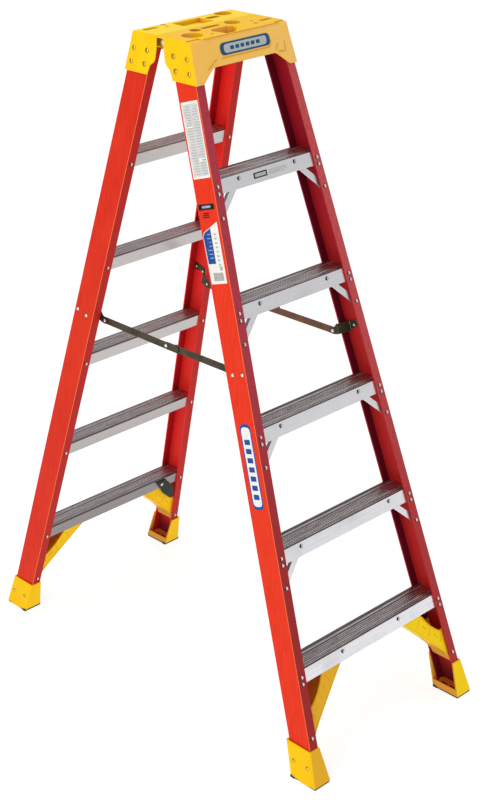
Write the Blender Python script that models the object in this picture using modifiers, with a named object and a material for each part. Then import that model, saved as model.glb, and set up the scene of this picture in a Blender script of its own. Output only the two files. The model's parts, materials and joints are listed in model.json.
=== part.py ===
"""Twin step ladder: two fibreglass frames hinged at the top cap, with folding spreaders.

Metres, +Z up, origin on the floor at the centre of the four feet. X runs across the steps, the front
frame stands on the -Y side and the rear frame on the +Y side. Each frame is drawn twice over: its own
"slope" space (x across, y into the ladder from the outer flange face, z up the rails) holds what
follows the rails, and its "upright" space (world axes, turned half a turn for the rear frame) holds
what is square to the floor.
"""

import math

import bmesh
import bpy
from mathutils import Matrix, Vector

# Driving dimensions of a frame
SLOPE = math.radians(16.94)
HALF_SPREAD = 0.6342
BASE_HALF_WIDTH = 0.2936
TAPER = 0.0736
RAIL_LENGTH = 1.833
RAIL_DEPTH = 0.073
FLANGE_WIDTH = 0.027
WALL = 0.004
GAP = 0.0003

# Steps
STEP_COUNT = 5
STEP_SPACING = 0.3048
FIRST_STEP = 0.300
APRON_HEIGHT = 0.035
STEP_SHEET = 0.002
TREAD_THICKNESS = 0.003
TREAD_GROOVES = (0.26, 0.75)
GROOVE_WIDTH = 0.004
GROOVE_DEPTH = 0.0012

# Rivets
RIVET_RADIUS = 0.0048
RIVET_HEIGHT = 0.0023
RIVET_EMBED = 0.0006
RIVET_SIDES = 8
FLANGE_RIVET_INSET = 0.014
STEP_RIVET_DROPS = (0.0145, 0.032)
INNER_RIVET_DROP = 0.024

# Knee braces under the front steps
KNEE_REACH = 0.087
KNEE_DROP = 0.090
APRON_RIVET_DROP = 0.0105
KNEE_FACE = 0.016
KNEE_LEG = 0.012
KNEE_SHEET = 0.002
KNEE_END = 0.002

# Foot braces under the bottom steps
FOOT_BRACE_SHEET = 0.003
FOOT_BRACE_RIVET = 0.127
FOOT_BRACE_REACH = 0.166
BRACE_SWEEP = ((0.108, 0.261), (0.141, 0.231), (0.182, 0.191), (0.224, 0.151), (0.246, 0.128),
               (0.258, 0.111), (0.264, 0.095))
BRACE_WINDOW = ((0.2475, 0.187), (0.232, 0.195), (0.213, 0.213), (0.199, 0.231), (0.188, 0.250))

# Shoes and their rubber pads
SHOE_HEIGHT = 0.093
SHOE_WALL = 0.0042
SHOE_FLARE = 0.006
SHOE_FLOOR = 0.012
SHOE_BASE = 0.0043
SHOE_INNER_TOP = 0.258
SHOE_INNER_FOOT = 0.248
SHOE_LIP = 0.022
SHOE_RIVET_HEIGHT = 0.048
SHOE_SKIRT = (0.016, 0.050)
SHOE_CORNER = 0.003
RAIL_END_HEIGHT = 0.0145
PAD_INSET = 0.0015

# Top cap
CAP_TOP = 1.768
CAP_BOTTOM = 1.669
CAP_PLATE = 0.0055
CAP_FACE = 0.0062
CAP_SIDE = 0.0037
CAP_LEG = 0.144
CAP_ARCH = 1.701
CAP_SEAM = 0.0122
CAP_CORNER = 0.012
CAP_EDGE = 0.0045
CUP_WALL = 0.0025
SEAT_RADIUS = 0.0072
SEAT_DEPTH = 0.0010

# Top hinge
HINGE_HEIGHT = 1.750
HINGE_PIN_RADIUS = 0.004
HINGE_EYE_RADIUS = 0.011
HINGE_SHEET = 0.003
FRONT_PLATE_X = 0.1485
REAR_PLATE_X = 0.1451

# Spreaders
PIVOT_Y = -0.243
PIVOT_Z = 0.9805
KNUCKLE_Z = 0.9785
ARM_WIDTH = 0.019
ARM_SHEET = 0.002
ARM_END = 0.010
ARM_OVERLAP = 0.046
ARM_LIP = 0.008
FRONT_ARM_X = 0.1794
REAR_ARM_X = 0.1818
TAB_SHEET = 0.002
FRONT_TAB_X = 0.1770
REAR_TAB_X = 0.1842
BRACKET_TOP = 1.0695
SPREADER_PIN_RADIUS = 0.003
PIN_CLEARANCE = 0.0004

# Closing latch on the rear bottom step
LATCH_PIVOT = (-0.181, 0.303)
LATCH_SHEET = 0.005

SIDES = {"left": -1, "right": 1}


# ---------------------------------------------------------------- scene and collections

def clear_scene():
    for item in list(bpy.data.objects):
        bpy.data.objects.remove(item, do_unlink=True)


def new_collection(name):
    group = bpy.data.collections.new(name)
    bpy.context.scene.collection.children.link(group)
    return group


clear_scene()
PARTS = new_collection("twin_step_ladder")
HELPERS = new_collection("cutters_and_guides")


# ---------------------------------------------------------------- materials

def paint(name, colour, roughness, metallic):
    """One Principled material; the colour is linear RGB."""
    material = bpy.data.materials.new(name)
    material.use_nodes = True
    shader = material.node_tree.nodes["Principled BSDF"]
    shader.inputs["Base Color"].default_value = (*colour, 1.0)
    shader.inputs["Roughness"].default_value = roughness
    shader.inputs["Metallic"].default_value = metallic
    return material


FIBREGLASS = ("fibreglass_orange", (0.80, 0.045, 0.018), 0.35, 0.0)
ALUMINIUM = ("aluminium", (0.72, 0.72, 0.75), 0.38, 1.0)
PLASTIC = ("yellow_plastic", (0.93, 0.58, 0.01), 0.42, 0.0)
RUBBER = ("black_rubber", (0.02, 0.02, 0.02), 0.85, 0.0)
ZINC = ("olive_zinc_steel", (0.09, 0.075, 0.04), 0.40, 0.9)
STEEL = ("bright_steel", (0.62, 0.62, 0.62), 0.30, 1.0)
BLACK_PLASTIC = ("black_plastic", (0.015, 0.018, 0.016), 0.5, 0.0)


# ---------------------------------------------------------------- spaces

def empty(name, parent=None, location=(0, 0, 0), rotation=(0, 0, 0)):
    guide = bpy.data.objects.new(name, None)
    HELPERS.objects.link(guide)
    guide.parent = parent
    guide.location = location
    guide.rotation_euler = rotation
    guide.hide_render = True
    guide.empty_display_size = 0.05
    return guide


class Frame:
    """One of the two ladder frames; both hang from the hinge axis."""

    def __init__(self, name, turn, facing):
        self.name = name
        self.facing = facing
        hinge = empty(f"{name}_hinge_axis", None, (0, 0, HINGE_HEIGHT), (0, 0, turn))
        self.upright = empty(f"{name}_upright", hinge, (0, 0, -HINGE_HEIGHT))
        self.slope = empty(f"{name}_slope", self.upright, (0, -HALF_SPREAD, 0), (-SLOPE, 0, 0))

    def side(self, label):
        """Sign of x in the frame's own space for the ladder's left or right."""
        return SIDES[label] * self.facing


FRONT = Frame("front", 0.0, 1)
REAR = Frame("rear", math.pi, -1)


def half_width(v):
    """Half the width over the rail webs at a distance v up the slope."""
    return BASE_HALF_WIDTH - TAPER * v


def to_upright(d, v):
    """Slope space (depth, distance up) to upright space (y, z)."""
    y = -HALF_SPREAD + v * math.sin(SLOPE) + d * math.cos(SLOPE)
    z = v * math.cos(SLOPE) - d * math.sin(SLOPE)
    return y, z


def to_slope(y, z):
    """Upright space (y, z) to slope space (depth, distance up)."""
    reach = y + HALF_SPREAD
    v = reach * math.sin(SLOPE) + z * math.cos(SLOPE)
    d = reach * math.cos(SLOPE) - z * math.sin(SLOPE)
    return d, v


def slope_y(d, z):
    """Upright y of the plane at depth d, at the height z."""
    v = (z + d * math.sin(SLOPE)) / math.cos(SLOPE)
    return to_upright(d, v)[0]


def tread_rise(d):
    """How far up the slope a level tread climbs over the depth d."""
    return d * math.tan(SLOPE)


def step_height(number):
    """Distance up the slope of a tread's outer edge."""
    return FIRST_STEP + STEP_SPACING * (number - 1)


# ---------------------------------------------------------------- modelling helpers

def register(item, collection, parent, location=(0, 0, 0), rotation=(0, 0, 0)):
    collection.objects.link(item)
    item.parent = parent
    item.location = location
    item.rotation_euler = rotation
    if collection is HELPERS:
        item.hide_render = True
        item.display_type = "WIRE"
    return item


PLANES = {
    "XY": Matrix.Identity(4),
    "XZ": Matrix(((1, 0, 0, 0), (0, 0, -1, 0), (0, 1, 0, 0), (0, 0, 0, 1))),
    "YZ": Matrix(((0, 0, 1, 0), (1, 0, 0, 0), (0, 1, 0, 0), (0, 0, 0, 1))),
}


def prism_mesh(name, points, plane, low, high):
    """A flat outline in a plane, extruded along the plane's normal axis from low to high."""
    curve = bpy.data.curves.new(name, "CURVE")
    curve.dimensions = "2D"
    curve.fill_mode = "BOTH"
    curve.extrude = (high - low) / 2
    spline = curve.splines.new("POLY")
    spline.points.add(len(points) - 1)
    for point, (u, w) in zip(spline.points, points):
        point.co = (u, w, 0, 1)
    spline.use_cyclic_u = True
    drawn = bpy.data.objects.new(name, curve)
    bpy.context.scene.collection.objects.link(drawn)
    graph = bpy.context.evaluated_depsgraph_get()
    mesh = bpy.data.meshes.new_from_object(drawn.evaluated_get(graph))
    bpy.data.objects.remove(drawn, do_unlink=True)
    bpy.data.curves.remove(curve)
    axis_shift = (high + low) / 2
    if plane == "XZ":
        axis_shift = -axis_shift
    mesh.transform(PLANES[plane] @ Matrix.Translation((0, 0, axis_shift)))
    work = bmesh.new()
    work.from_mesh(mesh)
    bmesh.ops.remove_doubles(work, verts=work.verts, dist=1e-6)
    bmesh.ops.recalc_face_normals(work, faces=work.faces)
    work.to_mesh(mesh)
    work.free()
    mesh.name = name
    return mesh


def prism(name, points, plane, low, high, collection=None, parent=None, **place):
    mesh = prism_mesh(name, points, plane, low, high)
    item = bpy.data.objects.new(name, mesh)
    return register(item, collection or HELPERS, parent, **place)


def boolean(target, operation, tool):
    modifier = target.modifiers.new(tool.name, "BOOLEAN")
    modifier.operation = operation
    modifier.solver = "EXACT"
    modifier.object = tool
    return target


def finish(item, style):
    """Give a part its own material and smooth shading with sharp corners kept."""
    name, colour, roughness, metallic = style
    item.data.materials.clear()
    item.data.materials.append(paint(f"{item.name}_{name}", colour, roughness, metallic))
    item.data.shade_smooth()
    item.data.set_sharp_from_angle(angle=math.radians(35))
    return item


def circle(centre, radius, sides, start=0.0):
    cx, cy = centre
    turn = 2 * math.pi / sides
    return [
        (cx + radius * math.cos(start + turn * i), cy + radius * math.sin(start + turn * i))
        for i in range(sides)
    ]


def arc(centre, radius, start, end, steps):
    cx, cy = centre
    return [
        (
            cx + radius * math.cos(start + (end - start) * i / steps),
            cy + radius * math.sin(start + (end - start) * i / steps),
        )
        for i in range(steps + 1)
    ]


def slot_outline(centre, length, width, steps=4):
    """A slot with round ends, lengthwise along the first axis."""
    cx, cy = centre
    radius = width / 2
    reach = length / 2 - radius
    right = arc((cx + reach, cy), radius, -math.pi / 2, math.pi / 2, steps)
    left = arc((cx - reach, cy), radius, math.pi / 2, 3 * math.pi / 2, steps)
    return right + left


def mirrored(points, side):
    return [(side * x, z) for x, z in points]


def rivet_heads(name, places, collection, parent, **place):
    """Low conical heads; each place is (point on the surface, outward direction)."""
    work = bmesh.new()
    for point, outward in places:
        direction = Vector(outward).normalized()
        turn = direction.to_track_quat("Z", "Y").to_matrix().to_4x4()
        centre = Vector(point) + direction * (RIVET_HEIGHT - RIVET_EMBED) / 2
        bmesh.ops.create_cone(
            work,
            cap_ends=True,
            segments=RIVET_SIDES,
            radius1=RIVET_RADIUS,
            radius2=RIVET_RADIUS * 0.55,
            depth=RIVET_HEIGHT + RIVET_EMBED,
            matrix=Matrix.Translation(centre) @ turn,
        )
    mesh = bpy.data.meshes.new(name)
    work.to_mesh(mesh)
    work.free()
    return register(bpy.data.objects.new(name, mesh), collection, parent, **place)


def turned(name, profile, sides, style, parent, location, rotation):
    """A turned piece about its own Z axis; the profile runs down its outer side."""
    mesh = bpy.data.meshes.new(name)
    vertices = [(radius, 0, height) for radius, height in profile]
    mesh.from_pydata(vertices, [(i, i + 1) for i in range(len(vertices) - 1)], [])
    item = register(bpy.data.objects.new(name, mesh), PARTS, parent, location, rotation)
    screw = item.modifiers.new("turn", "SCREW")
    screw.axis = "Z"
    screw.angle = 2 * math.pi
    screw.steps = sides
    screw.render_steps = sides
    screw.use_merge_vertices = True
    screw.merge_threshold = 0.00005
    return finish(item, style)


# ---------------------------------------------------------------- rails

def rail_section(side):
    """C section with the web outside: x is measured from the web's outer face, y into the ladder."""
    corner = 0.003
    outer = arc((-corner, corner), corner, 0, -math.pi / 2, 3)
    outer_far = arc((-corner, RAIL_DEPTH - corner), corner, math.pi / 2, 0, 3)
    points = outer + [
        (-FLANGE_WIDTH, 0),
        (-FLANGE_WIDTH, WALL),
        (-WALL, WALL),
        (-WALL, RAIL_DEPTH - WALL),
        (-FLANGE_WIDTH, RAIL_DEPTH - WALL),
        (-FLANGE_WIDTH, RAIL_DEPTH),
    ] + outer_far
    return mirrored(points, side)


def rail_rivets(frame, side):
    """Rivet heads on a rail, in the rail's own space (x from the web face, z along the rail)."""
    stretch = 1 / math.cos(math.atan(TAPER))
    flange_x = -side * FLANGE_RIVET_INSET
    outward = (0, -1, 0)
    inward = (0, 1, 0)
    places = []
    for number in range(1, STEP_COUNT + 1):
        tread = step_height(number)
        for drop in STEP_RIVET_DROPS:
            places.append(((flange_x, 0, (tread - drop) * stretch), outward))
        if number > 1 and frame is FRONT:
            places.append(((flange_x, 0, (tread - KNEE_DROP) * stretch), outward))
        inner = tread + tread_rise(RAIL_DEPTH) - INNER_RIVET_DROP
        places.append(((flange_x, RAIL_DEPTH, inner * stretch), inward))
    places.append(((flange_x, 0, FOOT_BRACE_RIVET * stretch), outward))
    places.append(((flange_x, RAIL_DEPTH, (FOOT_BRACE_RIVET + 0.010) * stretch), inward))
    bracket_v = to_slope(PIVOT_Y, PIVOT_Z)[1]
    for depth in (0.012, 0.048):
        places.append(((0, depth, bracket_v * stretch), (side, 0, 0)))
    return places


def build_rail(frame, label):
    side = frame.side(label)
    name = f"{frame.name}_rail_{label}"
    lean = -side * math.atan(TAPER)
    stretch = 1 / math.cos(lean)
    place = {"location": (side * BASE_HALF_WIDTH, 0, 0), "rotation": (0, lean, 0)}
    rail = prism(
        name, rail_section(side), "XY", -0.02, RAIL_LENGTH * stretch, PARTS, frame.slope, **place
    )
    heads = rivet_heads(f"{name}_heads", rail_rivets(frame, side), HELPERS, frame.slope, **place)
    floor_cut = prism(
        f"{name}_foot_cut",
        [(-0.4, -0.2), (0.4, -0.2), (0.4, RAIL_END_HEIGHT), (-0.4, RAIL_END_HEIGHT)],
        "XZ", -0.8, 0.0, HELPERS, frame.upright,
    )
    boolean(rail, "UNION", heads)
    boolean(rail, "DIFFERENCE", floor_cut)
    return finish(rail, FIBREGLASS)


# ---------------------------------------------------------------- steps

def step_section(tread):
    """Section of a step across its depth: two aprons under a grooved level tread."""
    near = WALL + GAP
    far = RAIL_DEPTH - WALL - GAP
    depth = far - near

    def top(d, lower=0.0):
        return (d, tread + tread_rise(d - near) - lower)

    points = [
        (near, tread - APRON_HEIGHT),
        (near + STEP_SHEET, tread - APRON_HEIGHT),
        top(near + STEP_SHEET, TREAD_THICKNESS),
        top(far - STEP_SHEET, TREAD_THICKNESS),
    ]
    far_bottom = tread + tread_rise(depth) - APRON_HEIGHT
    points += [(far - STEP_SHEET, far_bottom), (far, far_bottom), top(far)]
    for share in reversed(TREAD_GROOVES):
        centre = near + depth * share
        for edge in (GROOVE_WIDTH / 2, -GROOVE_WIDTH / 2):
            outside = centre + edge * 1.25
            inside = centre + edge * 0.75
            pair = [top(outside), top(inside, GROOVE_DEPTH)]
            points += pair if edge > 0 else pair[::-1]
    points.append(top(near))
    return points


def build_step(frame, number):
    tread = step_height(number)
    reach = half_width(tread + tread_rise(RAIL_DEPTH)) - WALL - GAP
    name = f"{frame.name}_step_{number}"
    step = prism(name, step_section(tread), "YZ", -reach, reach, PARTS, frame.slope)
    if frame is FRONT or number == 1:
        spread = half_width(tread) - (FOOT_BRACE_REACH if number == 1 else KNEE_REACH)
        surface = WALL + GAP
        places = [
            ((sign * spread, surface, tread - APRON_RIVET_DROP), (0, -1, 0)) for sign in (-1, 1)
        ]
        boolean(step, "UNION", rivet_heads(f"{name}_heads", places, HELPERS, frame.slope))
    return finish(step, ALUMINIUM)


# ---------------------------------------------------------------- braces

def build_knee_brace(frame, number, label):
    """An angle strut from the step's outer apron down to the rail's outer flange."""
    side = frame.side(label)
    tread = step_height(number)
    upper = Vector((half_width(tread) - KNEE_REACH, tread - APRON_RIVET_DROP))
    foot_v = tread - KNEE_DROP
    lower = Vector((half_width(foot_v) - FLANGE_RIVET_INSET, foot_v))
    span = lower - upper
    length = span.length
    half = KNEE_FACE / 2
    section = [
        (-half, 0),
        (half, 0),
        (half, KNEE_SHEET),
        (-half + KNEE_SHEET, KNEE_SHEET),
        (-half + KNEE_SHEET, KNEE_LEG),
        (-half, KNEE_LEG),
    ]
    name = f"knee_brace_{number}_{label}"
    brace = prism(
        name, mirrored(section, side), "XY", -KNEE_END, length + KNEE_END, PARTS, frame.slope
    )
    face = WALL + GAP + STEP_SHEET + GAP
    brace.location = (side * upper.x, face, upper.y)
    brace.rotation_euler = (0, side * math.atan2(span.x, span.y), 0)
    return finish(brace, ALUMINIUM)


def offset_line(points, distance):
    """An open line moved sideways, to its left, by a distance."""
    moved = []
    for i, point in enumerate(points):
        before = Vector(points[max(i - 1, 0)])
        after = Vector(points[min(i + 1, len(points) - 1)])
        along = (after - before).normalized()
        moved.append((point[0] - along.y * distance, point[1] + along.x * distance))
    return moved


def slab(name, frame, near, far):
    """The space between two depths of a frame, parallel to the rails' flanges."""
    outline = [(near, -0.1), (far, -0.1), (far, 0.6), (near, 0.6)]
    return prism(name, outline, "YZ", -0.4, 0.4, HELPERS, frame.slope)


def build_foot_brace(frame, label):
    """A moulded brace: two gussets, at the outer and inner flanges, joined along the arch.

    It runs level from front to back like the step above it, so it is drawn in the upright space.
    """
    side = frame.side(label)
    near = WALL + GAP + STEP_SHEET + GAP
    far = RAIL_DEPTH - near
    sheet = FOOT_BRACE_SHEET
    clear = WALL + 0.0024
    top_edge = 0.278
    reach = [(web_x(z) - clear, z) for z in (BRACE_SWEEP[-1][1], 0.189)]
    outline = [(0.096, top_edge), (0.096, 0.270)] + list(BRACE_SWEEP) + reach
    outline += list(BRACE_WINDOW) + [(0.182, top_edge)]
    name = f"{frame.name}_foot_brace_{label}"
    brace = prism(name, mirrored(outline, side), "XZ", -0.70, -0.40, PARTS, frame.upright)
    boolean(brace, "INTERSECT", slab(f"{name}_slab", frame, near, far))
    inner_line = offset_line(BRACE_SWEEP, sheet)
    core = [(0.080, 0.300), (0.080, inner_line[0][1])] + inner_line
    core += [(0.300, inner_line[-1][1]), (0.300, 0.300)]
    core = mirrored(core, side)
    hollow = prism(f"{name}_hollow", core, "XZ", -0.71, -0.39, HELPERS, frame.upright)
    boolean(hollow, "INTERSECT", slab(f"{name}_core", frame, near + sheet, far - sheet))
    boolean(brace, "DIFFERENCE", hollow)
    return finish(brace, PLASTIC)


# ---------------------------------------------------------------- shoes

def web_x(z, outside=0.0):
    """Upright x of a web's outer face at a height above the floor, taken at mid depth."""
    v = (z + RAIL_DEPTH / 2 * math.sin(SLOPE)) / math.cos(SLOPE)
    return half_width(v) + outside


def edge_cutter(name, frame, foot, head, radius, quadrant):
    """Rounds an outer corner that runs from foot to head; quadrant is the side it faces, (x, y)."""
    foot = Vector(foot)
    along = (Vector(head) - foot).normalized()
    across = (Vector((1, 0, 0)) - along * along.x).normalized()
    depth = along.cross(across)
    turn = Matrix((across, depth, along)).transposed()
    qx, qy = quadrant
    reach = 0.006
    start = 0.0001 - radius
    angles = [math.radians(22.5 * step) for step in range(5)]
    curve = [(start + radius * math.sin(a), start + radius * math.cos(a)) for a in angles]
    block = [(reach, start), (reach, reach), (start, reach)]
    outline = [(qx * x, qy * y) for x, y in curve + block]
    length = (Vector(head) - foot).length
    cutter = prism(name, outline, "XY", -0.03, length + 0.03, HELPERS, frame.upright)
    cutter.location = foot
    cutter.rotation_euler = turn.to_euler()
    return cutter


def round_corners(item, name, frame, outer, faces, heights, radius):
    """Rounds the upright corners where an outer side meets the front and back faces.

    outer gives the side's x at a height, faces the depths of the front and back.
    """
    for depth, facing in faces:
        for sign in outer:
            foot, head = [(sign * outer[sign](z), slope_y(depth, z), z) for z in heights]
            corner = f"{name}_corner_{facing}_{sign}"
            cutter = edge_cutter(corner, frame, foot, head, radius, (sign, facing))
            boolean(item, "DIFFERENCE", cutter)


def build_shoe(frame, label):
    side = frame.side(label)
    name = f"{frame.name}_shoe_{label}"
    front_face = -SHOE_WALL - GAP
    back_face = RAIL_DEPTH + SHOE_WALL + GAP
    profile = [
        (slope_y(front_face, SHOE_BASE), SHOE_BASE),
        (slope_y(SHOE_SKIRT[0], SHOE_BASE), SHOE_BASE),
        (slope_y(SHOE_SKIRT[0], 0), 0.0006),
        (slope_y(SHOE_SKIRT[1], 0), 0.0006),
        (slope_y(SHOE_SKIRT[1], SHOE_BASE), SHOE_BASE),
        (slope_y(back_face, SHOE_BASE), SHOE_BASE),
        (slope_y(back_face, SHOE_HEIGHT), SHOE_HEIGHT),
        (slope_y(front_face, SHOE_HEIGHT), SHOE_HEIGHT),
    ]
    shoe = prism(name, profile, "YZ", -0.33, 0.33, PARTS, frame.upright)
    outer_foot = web_x(SHOE_BASE, SHOE_WALL + GAP + SHOE_FLARE)
    outer_top = web_x(SHOE_HEIGHT, SHOE_WALL + GAP)
    sole = SHOE_BASE + 0.0002
    elevation = [
        (SHOE_INNER_FOOT, sole),
        (outer_foot - SHOE_WALL, sole),
        (outer_foot - SHOE_WALL, 0.0),
        (outer_foot, 0.0),
        (outer_foot, SHOE_BASE),
        (outer_top, SHOE_HEIGHT + 0.001),
        (SHOE_INNER_TOP, SHOE_HEIGHT + 0.001),
    ]
    limit = prism(
        f"{name}_limit", mirrored(elevation, side), "XZ", -0.75, -0.40, HELPERS, frame.upright
    )
    boolean(shoe, "INTERSECT", limit)

    def outer_x(z):
        return outer_foot + (outer_top - outer_foot) * (z - SHOE_BASE) / (SHOE_HEIGHT - SHOE_BASE)

    faces = ((front_face, -1), (back_face, 1))
    round_corners(shoe, name, frame, {side: outer_x}, faces, (0.0, SHOE_HEIGHT), SHOE_CORNER)
    high = SHOE_HEIGHT + 0.02
    pocket_profile = [
        (slope_y(-GAP, SHOE_FLOOR), SHOE_FLOOR),
        (slope_y(RAIL_DEPTH + GAP, SHOE_FLOOR), SHOE_FLOOR),
        (slope_y(RAIL_DEPTH + GAP, high), high),
        (slope_y(-GAP, high), high),
    ]
    pocket = prism(f"{name}_pocket", pocket_profile, "YZ", -0.33, 0.33, HELPERS, frame.upright)
    lip_face = SHOE_INNER_FOOT + 0.0035
    web_slack = TAPER * RAIL_DEPTH * math.sin(SLOPE)
    pocket_elevation = [
        (lip_face, 0.0),
        (web_x(0.0, GAP + web_slack), 0.0),
        (web_x(high, GAP + web_slack), high),
        (0.20, high),
        (0.20, SHOE_LIP),
        (lip_face, SHOE_LIP),
    ]
    pocket_limit = prism(
        f"{name}_pocket_limit",
        mirrored(pocket_elevation, side),
        "XZ", -0.75, -0.40, HELPERS, frame.upright,
    )
    boolean(pocket, "INTERSECT", pocket_limit)
    boolean(shoe, "DIFFERENCE", pocket)
    ledge_foot = SHOE_FLOOR - 0.001
    ledge = [
        (slope_y(0.008, ledge_foot), ledge_foot),
        (slope_y(0.065, ledge_foot), ledge_foot),
        (slope_y(0.065, 0.021), 0.021),
        (slope_y(0.008, 0.021), 0.021),
    ]
    low_x, high_x = sorted((side * 0.264, side * 0.276))
    shelf = prism(f"{name}_ledge", ledge, "YZ", low_x, high_x, HELPERS, frame.upright)
    boolean(shoe, "UNION", shelf)
    tilt = (outer_foot - outer_top) / SHOE_HEIGHT
    places = []
    for depth in (0.013, 0.059):
        y = slope_y(depth, SHOE_RIVET_HEIGHT)
        places.append(((side * outer_x(SHOE_RIVET_HEIGHT), y, SHOE_RIVET_HEIGHT), (side, 0, tilt)))
    boolean(shoe, "UNION", rivet_heads(f"{name}_heads", places, HELPERS, frame.upright))
    return finish(shoe, PLASTIC)


def build_pad(frame, label):
    """A rubber sole, notched where the shoe's outer wall comes down past it."""
    side = frame.side(label)
    inner = SHOE_INNER_FOOT + PAD_INSET
    outer = web_x(SHOE_BASE, SHOE_WALL + GAP + SHOE_FLARE) - PAD_INSET
    notch = outer - SHOE_WALL
    front = slope_y(-SHOE_WALL - GAP, SHOE_BASE) + PAD_INSET
    back = slope_y(RAIL_DEPTH + SHOE_WALL + GAP, SHOE_BASE) - PAD_INSET
    skirt_front = slope_y(SHOE_SKIRT[0], 0) - 0.001
    skirt_back = slope_y(SHOE_SKIRT[1], SHOE_BASE) + 0.001
    outline = [
        (inner, front),
        (outer, front),
        (outer, skirt_front),
        (notch, skirt_front),
        (notch, skirt_back),
        (outer, skirt_back),
        (outer, back),
        (inner, back),
    ]
    name = f"{frame.name}_shoe_pad_{label}"
    pad = prism(
        name, mirrored(outline, side), "XY", 0.0, SHOE_BASE - GAP, PARTS, frame.upright
    )
    return finish(pad, RUBBER)


# ---------------------------------------------------------------- top caps

def cap_profile(seam):
    """Side view of a half cap: sloping outer face, level top, stepped edge towards the hinge."""
    face = -CAP_FACE
    corner_y = slope_y(face, CAP_TOP)
    lean = math.pi / 2 - SLOPE
    tangent = CAP_CORNER * math.tan((math.pi - lean) / 4)
    centre = (corner_y + tangent, CAP_TOP - CAP_CORNER)
    rounded = arc(centre, CAP_CORNER, math.pi / 2, math.pi - SLOPE, 4)
    edge = [
        (seam, CAP_TOP - CAP_PLATE),
        (-0.013, CAP_TOP - CAP_PLATE),
        (-0.014, 1.735),
        (-0.018, 1.710),
        (-0.023, 1.702),
        (-0.036, 1.693),
        (-0.042, 1.681),
        (-0.047, CAP_BOTTOM),
    ]
    return rounded[::-1] + [(seam, CAP_TOP)] + edge + [(slope_y(face, CAP_BOTTOM), CAP_BOTTOM)]


def cap_elevation():
    """Outer view of a half cap: tapered sides and an arch between the legs."""
    outside = GAP + CAP_SIDE
    half = [
        (CAP_LEG, CAP_BOTTOM),
        (web_x(CAP_BOTTOM, outside), CAP_BOTTOM),
        (web_x(CAP_TOP, outside), CAP_TOP + 0.002),
    ]
    shoulder = [(0.112, 1.695), (0.106, 1.6985), (0.097, CAP_ARCH)]
    left_half = [(-x, z) for x, z in half[::-1]] + [(-x, z) for x, z in shoulder]
    return half + left_half + shoulder[::-1]


def cap_cavity(frame, name):
    low = CAP_BOTTOM - 0.03
    high = CAP_TOP - CAP_PLATE
    profile = [
        (slope_y(-GAP, low), low),
        (0.08, low),
        (0.08, high),
        (slope_y(-GAP, high), high),
    ]
    cavity = prism(f"{name}_cavity", profile, "YZ", -0.2, 0.2, HELPERS, frame.upright)
    slack = TAPER * RAIL_DEPTH * math.sin(SLOPE)
    inner_low = web_x(low, GAP + slack)
    inner_high = web_x(high, GAP + slack)
    elevation = [(-inner_low, low), (inner_low, low), (inner_high, high), (-inner_high, high)]
    limit = prism(f"{name}_cavity_limit", elevation, "XZ", -0.3, 0.2, HELPERS, frame.upright)
    return boolean(cavity, "INTERSECT", limit)


def cap_rivet_places():
    """Centres and directions of the rivets on the cap's sides."""
    places = []
    for sign in (-1, 1):
        for y, z in ((-0.0475, 1.727), (-0.0955, 1.727), (-0.0565, 1.693), (-0.1050, 1.693)):
            v = to_slope(y, z)[1]
            face = half_width(v) + GAP + CAP_SIDE
            places.append(((sign * face, y, z), (sign, 0, TAPER)))
    return places


def rivet_seats(name, frame):
    """Round seats sunk into the cap's sides under its rivets."""
    work = bmesh.new()
    for point, outward in cap_rivet_places():
        direction = Vector(outward).normalized()
        turn = direction.to_track_quat("Z", "Y").to_matrix().to_4x4()
        centre = Vector(point) + direction * (0.002 - SEAT_DEPTH)
        bmesh.ops.create_cone(
            work, cap_ends=True, segments=12, radius1=SEAT_RADIUS, radius2=SEAT_RADIUS,
            depth=0.004, matrix=Matrix.Translation(centre) @ turn,
        )
    mesh = bpy.data.meshes.new(name)
    work.to_mesh(mesh)
    work.free()
    return register(bpy.data.objects.new(name, mesh), HELPERS, frame.upright)


def seated_heads(name, frame):
    places = []
    for point, outward in cap_rivet_places():
        direction = Vector(outward).normalized()
        places.append((Vector(point) - direction * SEAT_DEPTH, outward))
    return rivet_heads(name, places, HELPERS, frame.upright)


# Tool holes seen from above, in each frame's upright space: outline, and how deep its cup is
# (None for a plain hole through the plate).
FRONT_HOLES = {
    "can": (circle((-0.106, -0.052), 0.0265, 24), 0.040),
    "driver": (circle((0.057, -0.018), 0.0205, 18), 0.036),
    "vice": (
        [(-0.036, -0.0975), (-0.006, -0.0975), (0.022, -0.072), (0.030, -0.048), (0.020, -0.039),
         (-0.032, -0.039), (-0.044, -0.054)],
        0.032,
    ),
    "hook": (circle((-0.063, -0.016), 0.0145, 14), 0.022),
    "screw_near": (circle((-0.063, -0.075), 0.005, 8), None),
    "screw_far": (circle((0.100, -0.042), 0.005, 8), None),
    "drill": (circle((0.090, -0.068), 0.007, 10), None),
    "plier_slot": (slot_outline((0.133, -0.056), 0.042, 0.013), None),
    "tool_slot": (slot_outline((-0.012, -0.014), 0.060, 0.014), 0.016),
    "left_corner": (
        [(-0.165, -0.120), (-0.122, -0.120), (-0.122, -0.0905), (-0.165, -0.0905)],
        0.0022,
    ),
    "right_corner": (
        [(0.126, -0.120), (0.165, -0.120), (0.165, -0.0905), (0.126, -0.0905)],
        0.0022,
    ),
}
REAR_HOLES = {
    "wrench_slot": (slot_outline((0.123, -0.079), 0.046, 0.015), None),
    "drill": (circle((0.073, -0.090), 0.008, 10), None),
    "screw": (circle((0.080, -0.067), 0.005, 8), None),
    "driver": (circle((-0.115, -0.077), 0.0225, 20), 0.030),
    "saw_slot": (slot_outline((-0.066, -0.062), 0.044, 0.020), 0.016),
    "tray": ([(-0.040, -0.082), (0.050, -0.082), (0.050, -0.027), (-0.040, -0.027)], 0.0105),
}


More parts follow.
